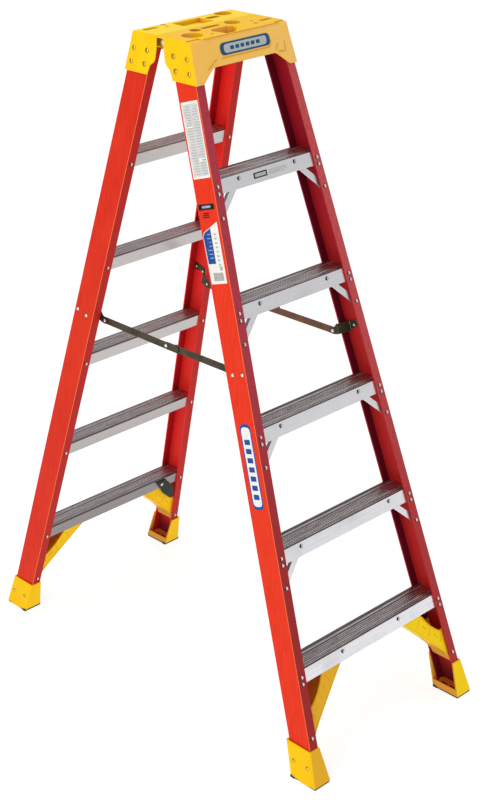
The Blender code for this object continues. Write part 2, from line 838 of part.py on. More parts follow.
def grown(outline, distance):
    """A closed outline grown outwards from its middle."""
    count = len(outline)
    middle = Vector((sum(p[0] for p in outline) / count, sum(p[1] for p in outline) / count))
    half_x = max(abs(p[0] - middle.x) for p in outline)
    half_y = max(abs(p[1] - middle.y) for p in outline)
    scale_x = 1 + distance / half_x
    scale_y = 1 + distance / half_y
    return [
        (middle.x + (x - middle.x) * scale_x, middle.y + (y - middle.y) * scale_y)
        for x, y in outline
    ]


def cut_tool_holes(cap, name, frame):
    """Cups first, under the plate, then every hole from above."""
    holes = FRONT_HOLES if frame is FRONT else REAR_HOLES
    under_plate = CAP_TOP - CAP_PLATE + 0.001
    for hole, (outline, depth) in holes.items():
        if depth is None or depth < CAP_PLATE:
            continue
        cup = prism(
            f"{name}_{hole}_cup", grown(outline, CUP_WALL), "XY",
            CAP_TOP - depth - CUP_WALL, under_plate, HELPERS, frame.upright,
        )
        boolean(cap, "UNION", cup)
    for hole, (outline, depth) in holes.items():
        low = CAP_TOP - (0.012 if depth is None else depth)
        cutter = prism(f"{name}_{hole}", outline, "XY", low, CAP_TOP + 0.01, HELPERS, frame.upright)
        boolean(cap, "DIFFERENCE", cutter)


def build_cap(frame):
    seam = CAP_SEAM if frame is FRONT else -CAP_SEAM - GAP
    name = f"{frame.name}_top_cap"
    cap = prism(name, cap_profile(seam), "YZ", -0.2, 0.2, PARTS, frame.upright)
    limit = prism(f"{name}_limit", cap_elevation(), "XZ", -0.3, 0.2, HELPERS, frame.upright)
    boolean(cap, "INTERSECT", limit)
    outside = GAP + CAP_SIDE
    sides = {sign: lambda z: web_x(z, outside) for sign in (-1, 1)}
    heights = (CAP_BOTTOM, CAP_TOP)
    round_corners(cap, name, frame, sides, ((-CAP_FACE, -1),), heights, CAP_EDGE)
    boolean(cap, "DIFFERENCE", cap_cavity(frame, name))
    cut_tool_holes(cap, name, frame)
    boolean(cap, "DIFFERENCE", rivet_seats(f"{name}_seats", frame))
    boolean(cap, "UNION", seated_heads(f"{name}_heads", frame))
    return finish(cap, PLASTIC)


# ---------------------------------------------------------------- top hinge

def build_hinge_plate(frame, label):
    """A steel plate on spacers inside the rail head, reaching over its end to the hinge pin."""
    side = frame.side(label)
    low = FRONT_PLATE_X if frame is FRONT else REAR_PLATE_X
    name = f"{frame.name}_hinge_plate_{label}"
    eye = arc((0.0, HINGE_HEIGHT), HINGE_EYE_RADIUS, math.radians(95), math.radians(-75), 6)
    body = [to_upright(d, v) for d, v in ((0.064, 1.838), (0.060, 1.785), (0.018, 1.785))]
    head = [to_upright(0.018, 1.836), (-0.030, CAP_TOP - CAP_PLATE - 0.0012)]
    plate = prism(name, eye + body + head, "YZ", low, low + HINGE_SHEET, PARTS, frame.upright)
    for place, (d, v) in enumerate(((0.028, 1.812), (0.052, 1.800))):
        y, z = to_upright(d, v)
        reach = half_width(v) - WALL - GAP - 0.0006
        spacer = prism(
            f"{name}_spacer_{place}",
            circle((y, z), 0.006, 8),
            "YZ", low + HINGE_SHEET / 2, reach, HELPERS, frame.upright,
        )
        boolean(plate, "UNION", spacer)
    bore = prism(
        f"{name}_bore",
        circle((0.0, HINGE_HEIGHT), HINGE_PIN_RADIUS + PIN_CLEARANCE, 12),
        "YZ", 0.13, 0.17, HELPERS, frame.upright,
    )
    boolean(plate, "DIFFERENCE", bore)
    if side < 0:
        flip_tree(plate)
    return finish(plate, STEEL)


def flip_mesh(item):
    item.data.transform(Matrix.Diagonal((-1, 1, 1, 1)))
    item.data.flip_normals()


def flip_tree(item):
    """Mirror a part and the cutters it uses to the other side of the ladder."""
    flip_mesh(item)
    for modifier in item.modifiers:
        if modifier.type == "BOOLEAN":
            flip_mesh(modifier.object)


def build_hinge_pin(label):
    """The pin through both hinge plates on one side, with a head at each end."""
    side = SIDES[label]
    radius = HINGE_PIN_RADIUS
    head = 0.0068
    inner = REAR_PLATE_X - GAP
    outer = FRONT_PLATE_X + HINGE_SHEET + GAP
    middle = (inner + outer) / 2
    half = (outer - inner) / 2
    profile = [
        (0.0, half + 0.0018),
        (head, half + 0.0018),
        (head, half),
        (radius, half),
        (radius, -half),
        (head, -half),
        (head, -half - 0.0022),
        (0.0, -half - 0.0022),
    ]
    name = f"top_hinge_pin_{label}"
    place = (side * middle, 0, HINGE_HEIGHT)
    return turned(name, profile, 12, STEEL, FRONT.upright, place, (0, side * math.pi / 2, 0))


# ---------------------------------------------------------------- spreaders

def build_spreader_bracket(frame, label):
    """A jogged strap from the rail web, past the inner flange, to the spreader pivot."""
    side = frame.side(label)
    tab = FRONT_TAB_X if frame is FRONT else REAR_TAB_X
    depth, height = to_slope(PIVOT_Y, PIVOT_Z)
    radius = ARM_WIDTH / 2
    base = half_width(BRACKET_TOP) - WALL - GAP - TAB_SHEET
    section = [
        (base, 0.006),
        (base + TAB_SHEET, 0.006),
        (base + TAB_SHEET, 0.0545),
        (tab + TAB_SHEET, 0.0670),
        (tab + TAB_SHEET, depth + radius),
        (tab, depth + radius),
        (tab, 0.0655),
        (base, 0.0530),
    ]
    name = f"{frame.name}_spreader_bracket_{label}"
    low = height - 0.02
    bracket = prism(name, mirrored(section, side), "XY", low, BRACKET_TOP, PARTS, frame.slope)
    plate = [(0.0, 1.049), (0.018, 1.049), (0.032, 1.056), (0.056, 1.043), (0.074, 1.0415)]
    tip = arc((depth, height), radius, -math.pi / 2, math.pi / 2, 6)
    top = [(0.079, 1.0625), (0.070, BRACKET_TOP + 0.001), (0.0, BRACKET_TOP + 0.001)]
    trim = prism(f"{name}_trim", plate + tip + top, "YZ", -0.25, 0.25, HELPERS, frame.slope)
    boolean(bracket, "INTERSECT", trim)
    bore = prism(
        f"{name}_bore",
        circle((depth, height), SPREADER_PIN_RADIUS + PIN_CLEARANCE, 12),
        "YZ", -0.22, 0.22, HELPERS, frame.slope,
    )
    boolean(bracket, "DIFFERENCE", bore)
    return finish(bracket, ZINC)


def arm_angle():
    return math.atan2(KNUCKLE_Z - PIVOT_Z, -PIVOT_Y)


def arm_length():
    return math.hypot(KNUCKLE_Z - PIVOT_Z, PIVOT_Y)


def arm_lip(name, frame, side, far, place):
    """The stop at the rear arm's end: it rests over the front arm's top edge."""
    radius = ARM_WIDTH / 2
    outline = [
        (REAR_ARM_X + ARM_SHEET, radius - 0.001),
        (REAR_ARM_X + ARM_SHEET, radius + 0.003),
        (FRONT_ARM_X, radius + 0.003),
        (FRONT_ARM_X, radius + 0.0012),
        (REAR_ARM_X, radius + 0.0012),
        (REAR_ARM_X, radius - 0.001),
    ]
    return prism(
        f"{name}_lip", mirrored(outline, side), "XZ", far - 0.003 - ARM_LIP, far - 0.003,
        HELPERS, frame.upright, **place,
    )


def build_spreader_arm(frame, label):
    """Half of a spreader, its origin on the pivot at the rail; it runs to the middle joint."""
    side = frame.side(label)
    low = FRONT_ARM_X if frame is FRONT else REAR_ARM_X
    length = arm_length()
    far = length + (ARM_END if frame is FRONT else ARM_OVERLAP)
    radius = ARM_WIDTH / 2
    start = arc((0, 0), radius, math.pi / 2, 3 * math.pi / 2, 6)
    if frame is FRONT:
        end = arc((length, 0), radius, -math.pi / 2, math.pi / 2, 6)
    else:
        nip = 0.003
        end = [(far - nip, -radius), (far, -radius + nip), (far, radius - nip), (far - nip, radius)]
    name = f"{frame.name}_spreader_arm_{label}"
    low_x, high_x = sorted((side * low, side * (low + ARM_SHEET)))
    place = {"location": (0, PIVOT_Y, PIVOT_Z), "rotation": (arm_angle(), 0, 0)}
    arm = prism(name, start + end, "YZ", low_x, high_x, PARTS, frame.upright, **place)
    bore = prism(
        f"{name}_bore",
        circle((0, 0), SPREADER_PIN_RADIUS + PIN_CLEARANCE, 12),
        "YZ", -0.22, 0.22, HELPERS, frame.upright, **place,
    )
    boolean(arm, "DIFFERENCE", bore)
    if frame is REAR:
        boolean(arm, "UNION", arm_lip(name, frame, side, far, place))
    head_x = low if frame is FRONT else low + ARM_SHEET
    outward = -side if frame is FRONT else side
    head = rivet_heads(
        f"{name}_knuckle", [((side * head_x, length, 0), (outward, 0, 0))],
        HELPERS, frame.upright, **place,
    )
    boolean(arm, "UNION", head)
    return finish(arm, ZINC)


def build_spreader_pin(frame, label):
    """The pin of a spreader pivot, headed on the bracket's side and flush at the arm."""
    side = frame.side(label)
    if frame is FRONT:
        start, end, headed = FRONT_TAB_X, FRONT_ARM_X + ARM_SHEET, -1
    else:
        start, end, headed = REAR_TAB_X + TAB_SHEET, REAR_ARM_X, 1
    radius = SPREADER_PIN_RADIUS
    head = 0.0052
    shank = abs(end - start) + GAP
    profile = [(0.0, 0.0022), (head * 0.6, 0.0022), (head, 0.0010), (head, 0.0)]
    profile += [(radius, 0.0), (radius, -shank), (0.0, -shank)]
    direction = side * headed
    name = f"{frame.name}_spreader_pin_{label}"
    place = (side * (start + headed * GAP), PIVOT_Y, PIVOT_Z)
    spin = (0, direction * math.pi / 2, 0)
    return turned(name, profile, 12, STEEL, frame.upright, place, spin)


# ---------------------------------------------------------------- closing latch

def build_latch():
    """A flat moulded latch hanging on the inner apron of the rear bottom step."""
    px, pz = LATCH_PIVOT
    outline = [
        (-0.157, 0.3175),
        (-0.194, 0.3175),
        (-0.231, 0.276),
        (-0.2405, 0.256),
        (-0.2405, 0.230),
        (-0.232, 0.225),
        (-0.194, 0.262),
        (-0.181, 0.284),
    ]
    near = RAIL_DEPTH - WALL
    local = [(x - px, z - pz) for x, z in outline]
    latch = prism(
        "closing_latch", local, "XZ", 0.0, LATCH_SHEET, PARTS, REAR.slope, location=(px, near, pz)
    )
    bore = prism(
        "closing_latch_bore", circle((0, 0), 0.0034, 12), "XZ", -0.01, 0.02,
        HELPERS, REAR.slope, location=(px, near, pz),
    )
    boolean(latch, "DIFFERENCE", bore)
    return finish(latch, BLACK_PLASTIC)


def build_latch_rivet():
    px, pz = LATCH_PIVOT
    near = RAIL_DEPTH - WALL
    head = LATCH_SHEET + GAP
    profile = [(0.0, head + 0.0022), (0.0032, head + 0.0022), (0.0056, head + 0.0008)]
    profile += [(0.0056, head), (0.0030, head), (0.0030, 0.0), (0.0, 0.0)]
    place = (px, near, pz)
    spin = (-math.pi / 2, 0, 0)
    return turned("closing_latch_rivet", profile, 12, STEEL, REAR.slope, place, spin)


# ---------------------------------------------------------------- assembly

def build_frame(frame):
    for label in SIDES:
        build_rail(frame, label)
        build_foot_brace(frame, label)
        build_shoe(frame, label)
        build_pad(frame, label)
        build_hinge_plate(frame, label)
        build_spreader_bracket(frame, label)
        build_spreader_arm(frame, label)
        build_spreader_pin(frame, label)
    for number in range(1, STEP_COUNT + 1):
        build_step(frame, number)
    build_cap(frame)


for ladder_frame in (FRONT, REAR):
    build_frame(ladder_frame)
for side_label in SIDES:
    build_hinge_pin(side_label)
    for step_number in range(2, STEP_COUNT + 1):
        build_knee_brace(FRONT, step_number, side_label)
build_latch()
build_latch_rivet()
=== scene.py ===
"""Looks of the twin step ladder: finishes, fastenings, tread ribs, moulded detail, plain labels.

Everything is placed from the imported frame. Lengths are written in millimetres and turned into
metres by MM; x runs across the ladder, and the front frame is on the side of negative y.
"""

import json
import math
import random
import bmesh
import bpy
from mathutils import Matrix, Vector


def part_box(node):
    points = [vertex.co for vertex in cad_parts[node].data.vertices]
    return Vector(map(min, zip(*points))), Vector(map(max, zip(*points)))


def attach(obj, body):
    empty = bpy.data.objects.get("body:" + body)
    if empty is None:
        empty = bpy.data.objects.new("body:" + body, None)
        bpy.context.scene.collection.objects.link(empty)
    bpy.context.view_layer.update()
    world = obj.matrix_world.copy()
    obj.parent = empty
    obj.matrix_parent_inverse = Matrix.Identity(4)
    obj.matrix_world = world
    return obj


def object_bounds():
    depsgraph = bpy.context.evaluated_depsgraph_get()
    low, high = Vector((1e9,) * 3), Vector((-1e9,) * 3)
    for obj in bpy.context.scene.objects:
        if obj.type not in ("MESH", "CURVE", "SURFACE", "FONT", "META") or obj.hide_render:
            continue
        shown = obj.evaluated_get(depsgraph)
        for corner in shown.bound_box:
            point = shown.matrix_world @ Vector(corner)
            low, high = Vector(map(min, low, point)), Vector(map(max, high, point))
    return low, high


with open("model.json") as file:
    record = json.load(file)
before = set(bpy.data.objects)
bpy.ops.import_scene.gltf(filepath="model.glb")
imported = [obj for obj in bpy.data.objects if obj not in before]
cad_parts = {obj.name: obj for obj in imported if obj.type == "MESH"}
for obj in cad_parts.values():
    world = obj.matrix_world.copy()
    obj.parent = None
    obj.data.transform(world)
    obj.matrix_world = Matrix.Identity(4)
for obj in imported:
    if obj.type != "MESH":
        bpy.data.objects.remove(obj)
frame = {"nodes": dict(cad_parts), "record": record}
CAD_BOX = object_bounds()
NODES = frame["nodes"]
BODIES = {node: body for body, members in frame["record"]["behaviour"]["bodies"].items()
          for node in members}
MATERIAL_SLOTS = {part["node"]: part["material_slot"] for part in frame["record"]["subparts"]}

MM = 0.001
SIDES = {"left": -1, "right": 1}
ACROSS = Vector((1, 0, 0))
UP = Vector((0, 0, 1))
# A flat face counts as large from this share of the largest one's area
LARGE_SHARE = 0.3
# How far a corner may lie off a plane and still count as on it
ON_PLANE = 0.1


# ---- reading the frame

def facing(node, direction, least=0.97):
    """The flat faces of a CAD node that look along a direction."""
    wanted = Vector(direction).normalized()
    return [face for face in NODES[node].data.polygons if face.normal.dot(wanted) > least]


class Plane:
    """The outermost large flat face of a CAD node on one side: a point on it and its normal."""

    def __init__(self, node, direction, least=0.9):
        vertices = NODES[node].data.vertices
        faces = facing(node, direction, least)
        largest = max(face.area for face in faces)
        large = [face for face in faces if face.area > LARGE_SHARE * largest]
        face = max(large, key=lambda item: vertices[item.vertices[0]].co.dot(item.normal))
        self.normal = face.normal.copy()
        self.point = vertices[face.vertices[0]].co.copy()

    def meet(self, point, axis):
        """The point slid along an axis until it lies on the plane."""
        return point + axis * ((self.point - point).dot(self.normal) / axis.dot(self.normal))


class Slope:
    """A ladder frame's own axes: x across, depth in from the outer flanges, up along the rails."""

    def __init__(self, name, outward):
        flange = Plane(f"{name}_rail_left", (0, outward, 0))
        self.name = name
        self.outward = outward
        self.body = BODIES[f"{name}_rail_left"]
        self.depth = -flange.normal
        self.up = Vector((0, -self.depth.z, self.depth.y))
        if self.up.z < 0:
            self.up.negate()
        self.foot = flange.point - self.up * (flange.point.z / self.up.z)
        self.foot.x = 0
        self.webs = {side: Plane(f"{name}_rail_{label}", (side, 0, 0))
                     for label, side in SIDES.items()}

    def point(self, x, d, v):
        """A point in millimetres of this frame's axes, in the row frame."""
        return self.foot + (ACROSS * x + self.depth * d + self.up * v) * MM

    def on_web(self, side):
        """Places (depth, up, lift) on the outer face of a rail's web."""
        plane = self.webs[side]

        def place(d, v, lift=0.0):
            return plane.meet(self.point(0, d, v), ACROSS) + plane.normal * lift * MM

        return place

    def on_depth(self, d):
        """Places (x, up, lift) on the plane at a depth, lifted outwards."""
        def place(x, v, lift=0.0):
            return self.point(x, d - lift, v)

        return place


FRONT = Slope("front", -1)
REAR = Slope("rear", 1)
SLOPES = (FRONT, REAR)
LEAN = math.asin(abs(FRONT.up.y))


# Circumradius of the triangles that fan across the flat top of a CAD rivet head, and its slack
HEAD_TOP_RADIUS = 2.64
HEAD_TOP_SLACK = 0.04
HEAD_TOP_FACES = 6


def head_centres(node):
    """The flat tops of the CAD's rivet heads: (centre, way out), found by their circle."""
    mesh = NODES[node].data
    found = {}
    for face in mesh.polygons:
        a, b, c = [mesh.vertices[i].co for i in face.vertices[:3]]
        ab, ac = b - a, c - a
        cross = ab.cross(ac)
        if cross.length < 1e-12:
            continue
        circle = ab.length * ac.length * (c - b).length / (2 * cross.length)
        if abs(circle - HEAD_TOP_RADIUS * MM) > HEAD_TOP_SLACK * MM:
            continue
        lean = cross.cross(ab) * ac.length_squared + ac.cross(cross) * ab.length_squared
        centre = a + lean / (2 * cross.length_squared)
        key = tuple(round(value, 4) for value in centre)
        found.setdefault(key, []).append((centre, face.normal.copy()))
    return [faces[0] for faces in found.values() if len(faces) == HEAD_TOP_FACES]


# ---- node materials

class Finish:
    """A procedural material, built node by node round a Principled shader."""

    def __init__(self, name, roughness, metallic=0.0):
        self.material = bpy.data.materials.new(name)
        self.material.use_nodes = True
        self.nodes = self.material.node_tree.nodes
        self.links = self.material.node_tree.links
        self.shader = self.nodes["Principled BSDF"]
        self.feed(self.shader, {"Roughness": roughness, "Metallic": metallic})
        coordinates = self.add("ShaderNodeTexCoord")
        self.place = coordinates.outputs["Object"]
        self.normal = coordinates.outputs["Normal"]

    def feed(self, node, inputs):
        for key, value in inputs.items():
            if isinstance(value, bpy.types.NodeSocket):
                self.links.new(value, node.inputs[key])
            else:
                node.inputs[key].default_value = value

    def add(self, kind, inputs=None, **settings):
        node = self.nodes.new(kind)
        for key, value in settings.items():
            setattr(node, key, value)
        self.feed(node, inputs or {})
        return node

    def raw(self, operation, first, second=0.0, **settings):
        """A calculation, its result as it is."""
        inputs = {0: first, 1: second}
        return self.add("ShaderNodeMath", inputs, operation=operation, **settings).outputs[0]

    def math(self, operation, first, second=0.0):
        """A calculation, its result held between nought and one."""
        return self.raw(operation, first, second, use_clamp=True)

    def part(self, vector, axis):
        """One coordinate of a vector: X, Y or Z."""
        return self.add("ShaderNodeSeparateXYZ", {"Vector": vector}).outputs[axis]

    def dot(self, vector, axis):
        inputs = {0: vector, 1: axis if isinstance(axis, bpy.types.NodeSocket) else tuple(axis)}
        node = self.add("ShaderNodeVectorMath", inputs, operation="DOT_PRODUCT")
        return node.outputs["Value"]

    def span(self, value, low, high, start=0.0, end=1.0):
        """Maps low..high smoothly onto start..end."""
        inputs = {"Value": value, "From Min": low, "From Max": high, "To Min": start,
                  "To Max": end}
        node = self.add("ShaderNodeMapRange", inputs, interpolation_type="SMOOTHSTEP")
        return node.outputs["Result"]

    def stretched(self, scale, turn=(0, 0, 0)):
        """The rest coordinates, turned and scaled, for a noise that runs one way."""
        inputs = {"Vector": self.place, "Rotation": turn, "Scale": scale}
        return self.add("ShaderNodeMapping", inputs).outputs["Vector"]

    def noise(self, scale, detail, vector=None, roughness=0.55):
        inputs = {"Vector": vector or self.place, "Scale": scale, "Detail": detail,
                  "Roughness": roughness}
        return self.add("ShaderNodeTexNoise", inputs).outputs["Fac"]

    def mix(self, factor, first, second):
        """The first colour at a factor of nought, the second at one."""
        node = self.add("ShaderNodeMix", data_type="RGBA")
        for index, value in ((0, factor), (6, first), (7, second)):
            if isinstance(value, tuple):
                value = (*value, 1.0)
            self.feed(node, {index: value})
        return node.outputs[2]

    def occlusion(self, distance, local=False):
        """How open the surface is to its surroundings: near nought in a deep corner."""
        node = self.add("ShaderNodeAmbientOcclusion", {"Distance": distance}, samples=6,
                        only_local=local)
        return node.outputs["AO"]

    def relief(self, height, distance, edge=0.0):
        """Bump over edges rounded by a radius."""
        inputs = {"Height": height, "Distance": distance, "Strength": 1.0}
        if edge:
            soft = self.add("ShaderNodeBevel", {"Radius": edge}, samples=4)
            inputs["Normal"] = soft.outputs["Normal"]
        bump = self.add("ShaderNodeBump", inputs)
        self.feed(self.shader, {"Normal": bump.outputs["Normal"]})

    def mirrored(self, slope, colour, rail):
        """A painted reflection of the rail: the colour turns towards the rail's over the last
        stretch of a step before it.
        """
        web = slope.webs[1]
        beyond = self.raw("SUBTRACT", self.dot(self.place, web.normal), web.point.dot(web.normal))
        near = self.span(beyond, -RAIL_REFLECTION, -0.006)
        return self.mix(self.math("MULTIPLY", near, 0.75), colour, rail)

    def paint(self, colour, roughness=None):
        if isinstance(colour, tuple):
            colour = (*colour, 1.0)
        self.feed(self.shader, {"Base Color": colour})
        if roughness is not None:
            self.feed(self.shader, {"Roughness": roughness})
        return self.material


def fibreglass(slope, shade):
    """Pultruded fibreglass: fibre streaks, painted shade on the flanges' faces and inside the
    channel.

    The tones differ by side and by height as painted light and shade, and the bright line on the
    outer corner is a painted highlight.
    """
    f = Finish(f"fibreglass_{slope.name}", 0.36)
    f.feed(f.shader, {"Specular IOR Level": 0.06})
    fibres = f.stretched((260, 260, 5), (slope.outward * LEAN, 0, 0))
    streak = f.noise(1.0, 4.0, fibres)
    cloud = f.noise(5.5, 3.0)
    speck = f.noise(420.0, 2.0)
    web = f.mix(f.span(streak, 0.30, 0.72), shade[2], shade[3])
    web = f.mix(f.span(cloud, 0.35, 0.70, 0.0, 0.35), web, (0.80, 0.050, 0.014))
    flat = f.dot(f.normal, slope.depth)
    depth = f.raw("SUBTRACT", f.dot(f.place, slope.depth), slope.foot.dot(slope.depth))
    deep = f.span(depth, 0.030, 0.042)
    shallow = f.math("SUBTRACT", 1.0, deep)
    outward = f.span(f.raw("MULTIPLY", flat, -1.0), 0.55, 0.85)
    inward = f.span(flat, 0.55, 0.85)
    high = f.span(f.dot(f.place, UP), 0.35, 1.25)
    aside = f.part(f.normal, "X")
    across = f.part(f.place, "X")
    # The outer flange's faces are darker, by height and by side: painted shade.
    flange_shade = f.mix(high, (0.36, 0.026, 0.026), (0.44, 0.052, 0.076))
    flange_shade_right = f.mix(high, (0.46, 0.045, 0.045), (0.58, 0.095, 0.100))
    flange_shade = f.mix(f.span(across, -0.1, 0.1), flange_shade, flange_shade_right)
    flange_shade = f.mix(f.span(streak, 0.30, 0.72, 0.0, 0.45), flange_shade, (0.34, 0.024, 0.030))
    colour = f.mix(f.math("MULTIPLY", outward, shallow), web, flange_shade)
    # The inner flange's face towards the other frame is darker too: painted shade.
    colour = f.mix(f.math("MULTIPLY", inward, deep), colour, (0.50, 0.022, 0.018))
    # The inner web takes its own tones by height: painted light and shade.
    inner_web = f.span(f.raw("MULTIPLY", f.raw("MULTIPLY", aside, across), -1.0), 0.03, 0.10)
    hollow = f.math("ADD", f.math("MULTIPLY", outward, deep),
                    f.math("MULTIPLY", inward, shallow))
    top = f.span(f.dot(f.place, UP), 0.90, 1.60)
    inner_web_shade = f.mix(top, shade[0], shade[4])
    # Darker low down inside the shoe: painted shade.
    in_shoe = f.span(f.dot(f.place, UP), 0.125, 0.035, 0.0, 0.9)
    inner_web_shade = f.mix(in_shoe, inner_web_shade, (0.130, 0.010, 0.013))
    colour = f.mix(inner_web, colour, inner_web_shade)
    # The inside of the channel: painted shade.
    colour = f.mix(hollow, colour, shade[1])
    # A bright line along the rounded outer corner: painted highlight.
    corner = f.raw("MULTIPLY", f.raw("MULTIPLY", aside, flat), 2.0)
    corner = f.span(f.raw("MULTIPLY", corner, corner), 0.45, 0.95)
    colour = f.mix(f.math("MULTIPLY", corner, 0.9), colour, (0.98, 0.21, 0.07))
    rough = f.span(f.raw("ADD", streak, f.raw("MULTIPLY", cloud, 0.4)), 0.5, 1.0, 0.30, 0.48)
    f.relief(f.raw("ADD", streak, f.raw("MULTIPLY", speck, 0.25)), 0.00008)
    return f.paint(colour, rough)


# How far from the right-hand rail a tread still mirrors it, and the pitch of the ribs' teeth,
# both in metres
RAIL_REFLECTION = 0.095
TOOTH_PITCH = 0.0058


def aluminium(slope):
    """Extruded aluminium: bright drawn aprons, matt scuffed treads, lines along the step, painted
    shade on faces turned in, and a painted reflection of the rail near it.
    """
    f = Finish(f"step_aluminium_{slope.name}", 0.35, metallic=1.0)
    drawn = f.noise(1.0, 4.0, f.stretched((6, 700, 700)))
    smear = f.noise(9.0, 4.0)
    grime = f.noise(46.0, 5.0)
    upward = f.span(f.dot(f.normal, UP), 0.75, 0.95)
    bright = f.mix(f.span(drawn, 0.3, 0.7), (0.83, 0.83, 0.86), (0.74, 0.74, 0.77))
    bright = f.mix(f.span(smear, 0.45, 0.75, 0.0, 0.5), bright, (0.58, 0.57, 0.58))
    # Faces turned in are darker, more so low down: painted shade.
    inner = f.span(f.dot(f.normal, slope.depth), 0.5, 0.9)
    low = f.span(f.dot(f.place, UP), 0.20, 0.75)
    bright = f.mix(inner, bright, f.mix(low, (0.27, 0.25, 0.25), (0.54, 0.515, 0.50)))
    tread = f.mix(f.span(drawn, 0.3, 0.7), (0.205, 0.160, 0.166), (0.120, 0.092, 0.096))
    tread = f.mix(f.span(grime, 0.50, 0.70, 0.0, 0.45), tread, (0.13, 0.100, 0.095))
    # Near the right-hand rail the tread takes a painted reflection of the rail.
    tread = f.mirrored(slope, tread, (0.30, 0.022, 0.020))
    colour = f.mix(upward, bright, tread)
    metallic = f.raw("SUBTRACT", 0.92, f.raw("MULTIPLY", upward, 0.10))
    f.feed(f.shader, {"Metallic": metallic})
    rough = f.span(f.raw("ADD", drawn, f.raw("MULTIPLY", smear, 0.5)), 0.45, 1.1, 0.22, 0.42)
    f.relief(drawn, 0.00006, edge=0.0006)
    return f.paint(colour, rough)


def worn_ribs(slope, light, dark):
    """Serrated rib crests: rubbed bright in streaks, lighter on the teeth and darker between them,
    with grime patches and a painted reflection of the rail near it.
    """
    f = Finish(f"tread_ribs_{slope.name}", 0.34, metallic=0.8)
    rub = f.noise(1.0, 4.0, f.stretched((22, 260, 260)))
    grime = f.noise(60.0, 5.0)
    colour = f.mix(f.span(rub, 0.32, 0.70), light, dark)
    colour = f.mix(f.span(grime, 0.55, 0.72, 0.0, 0.5), colour, (0.16, 0.125, 0.12))
    teeth = f.raw("SINE", f.raw("MULTIPLY", f.part(f.place, "X"), 2 * math.pi / TOOTH_PITCH))
    colour = f.mix(f.span(teeth, -0.5, 0.5, 0.75, 0.0), colour, (0.14, 0.110, 0.112))
    # Near the right-hand rail the ribs take a painted reflection of the rail.
    colour = f.mirrored(slope, colour, (0.62, 0.080, 0.070))
    f.relief(f.raw("ADD", teeth, rub), 0.00010)
    return f.paint(colour, f.span(rub, 0.3, 0.7, 0.18, 0.36))


def yellow_plastic(slope, use, outer_left, outer_right, top, hollow_shade, reach):
    """Moulded plastic: fine grain, flow clouds, painted sheen and shade by side, painted light on
    faces that look up, painted shade in hollows.

    On the feet, faces turned in and the sunk ledge of a shoe are darker with painted shade, and the
    hollows have a painted reddish glow.
    """
    f = Finish(f"yellow_plastic_{use}_{slope.name}", 0.42)
    f.feed(f.shader, {"Specular IOR Level": 0.05})
    grain = f.noise(900.0, 2.0)
    cloud = f.noise(14.0, 3.0)
    scuff = f.noise(1.0, 5.0, f.stretched((70, 70, 260)))
    colour = f.mix(f.span(cloud, 0.35, 0.7), (0.97, 0.585, 0.004), (0.92, 0.525, 0.006))
    # Faces turned outward take a paler tone of their own on each side: painted sheen and shade.
    outward = f.span(f.dot(f.normal, slope.depth * -1), 0.55, 0.9)
    across = f.part(f.place, "X")
    tone = f.mix(f.span(across, -0.12, 0.12), outer_left, outer_right)
    pale = f.mix(f.span(cloud, 0.35, 0.7, 0.0, 0.12), tone, (0.80, 0.40, 0.02))
    colour = f.mix(outward, colour, pale)
    # Faces that look up take the top tone: painted light.
    colour = f.mix(f.span(f.dot(f.normal, UP), 0.7, 0.95), colour, top)
    colour = f.mix(f.span(scuff, 0.66, 0.80, 0.0, 0.35), colour, (0.72, 0.40, 0.03))
    shadow = f.span(f.occlusion(reach, local=True), 0.32, 0.80)
    if use == "foot":
        # Faces turned in are darker: painted shade.
        inward = f.raw("MULTIPLY", f.raw("MULTIPLY", f.part(f.normal, "X"), across), -1.0)
        turned_in = f.span(inward, 0.12, 0.20)
        colour = f.mix(turned_in, colour, (0.66, 0.29, 0.035))
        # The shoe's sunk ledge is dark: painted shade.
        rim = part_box(f"{slope.name}_shoe_right")[0][0]
        sunk = f.span(f.raw("ABSOLUTE", across), rim + 12 * MM, rim + 15 * MM)
        sunk = f.math("MULTIPLY", sunk, f.span(f.dot(f.place, UP), 0.034, 0.026))
        upward = f.span(f.dot(f.normal, UP), 0.7, 0.95)
        sunk = f.math("MULTIPLY", sunk, f.math("MAXIMUM", turned_in, upward))
        colour = f.mix(sunk, colour, (0.170, 0.050, 0.014))
        # A reddish glow that grows in the hollows: painted light.
        glow = f.raw("SUBTRACT", 0.28, f.raw("MULTIPLY", shadow, 0.28))
        f.feed(f.shader, {"Emission Color": (0.50, 0.075, 0.008, 1.0), "Emission Strength": glow})
    # The hollows take the hollow tone: painted shade.
    colour = f.mix(shadow, hollow_shade, colour)
    rough = f.span(f.raw("ADD", cloud, f.raw("MULTIPLY", scuff, 0.5)), 0.5, 1.0, 0.36, 0.56)
    f.relief(grain, 0.00006, edge=0.0011)
    return f.paint(colour, rough)


def rubber():
    f = Finish("rubber", 0.85)
    grain = f.noise(700.0, 3.0)
    dust = f.noise(60.0, 4.0)
    dusty = f.span(dust, 0.5, 0.75, 0.0, 0.6)
    colour = f.mix(dusty, (0.018, 0.018, 0.019), (0.085, 0.078, 0.070))
    f.relief(grain, 0.00012, edge=0.0005)
    return f.paint(colour, f.span(dust, 0.3, 0.8, 0.75, 0.95))


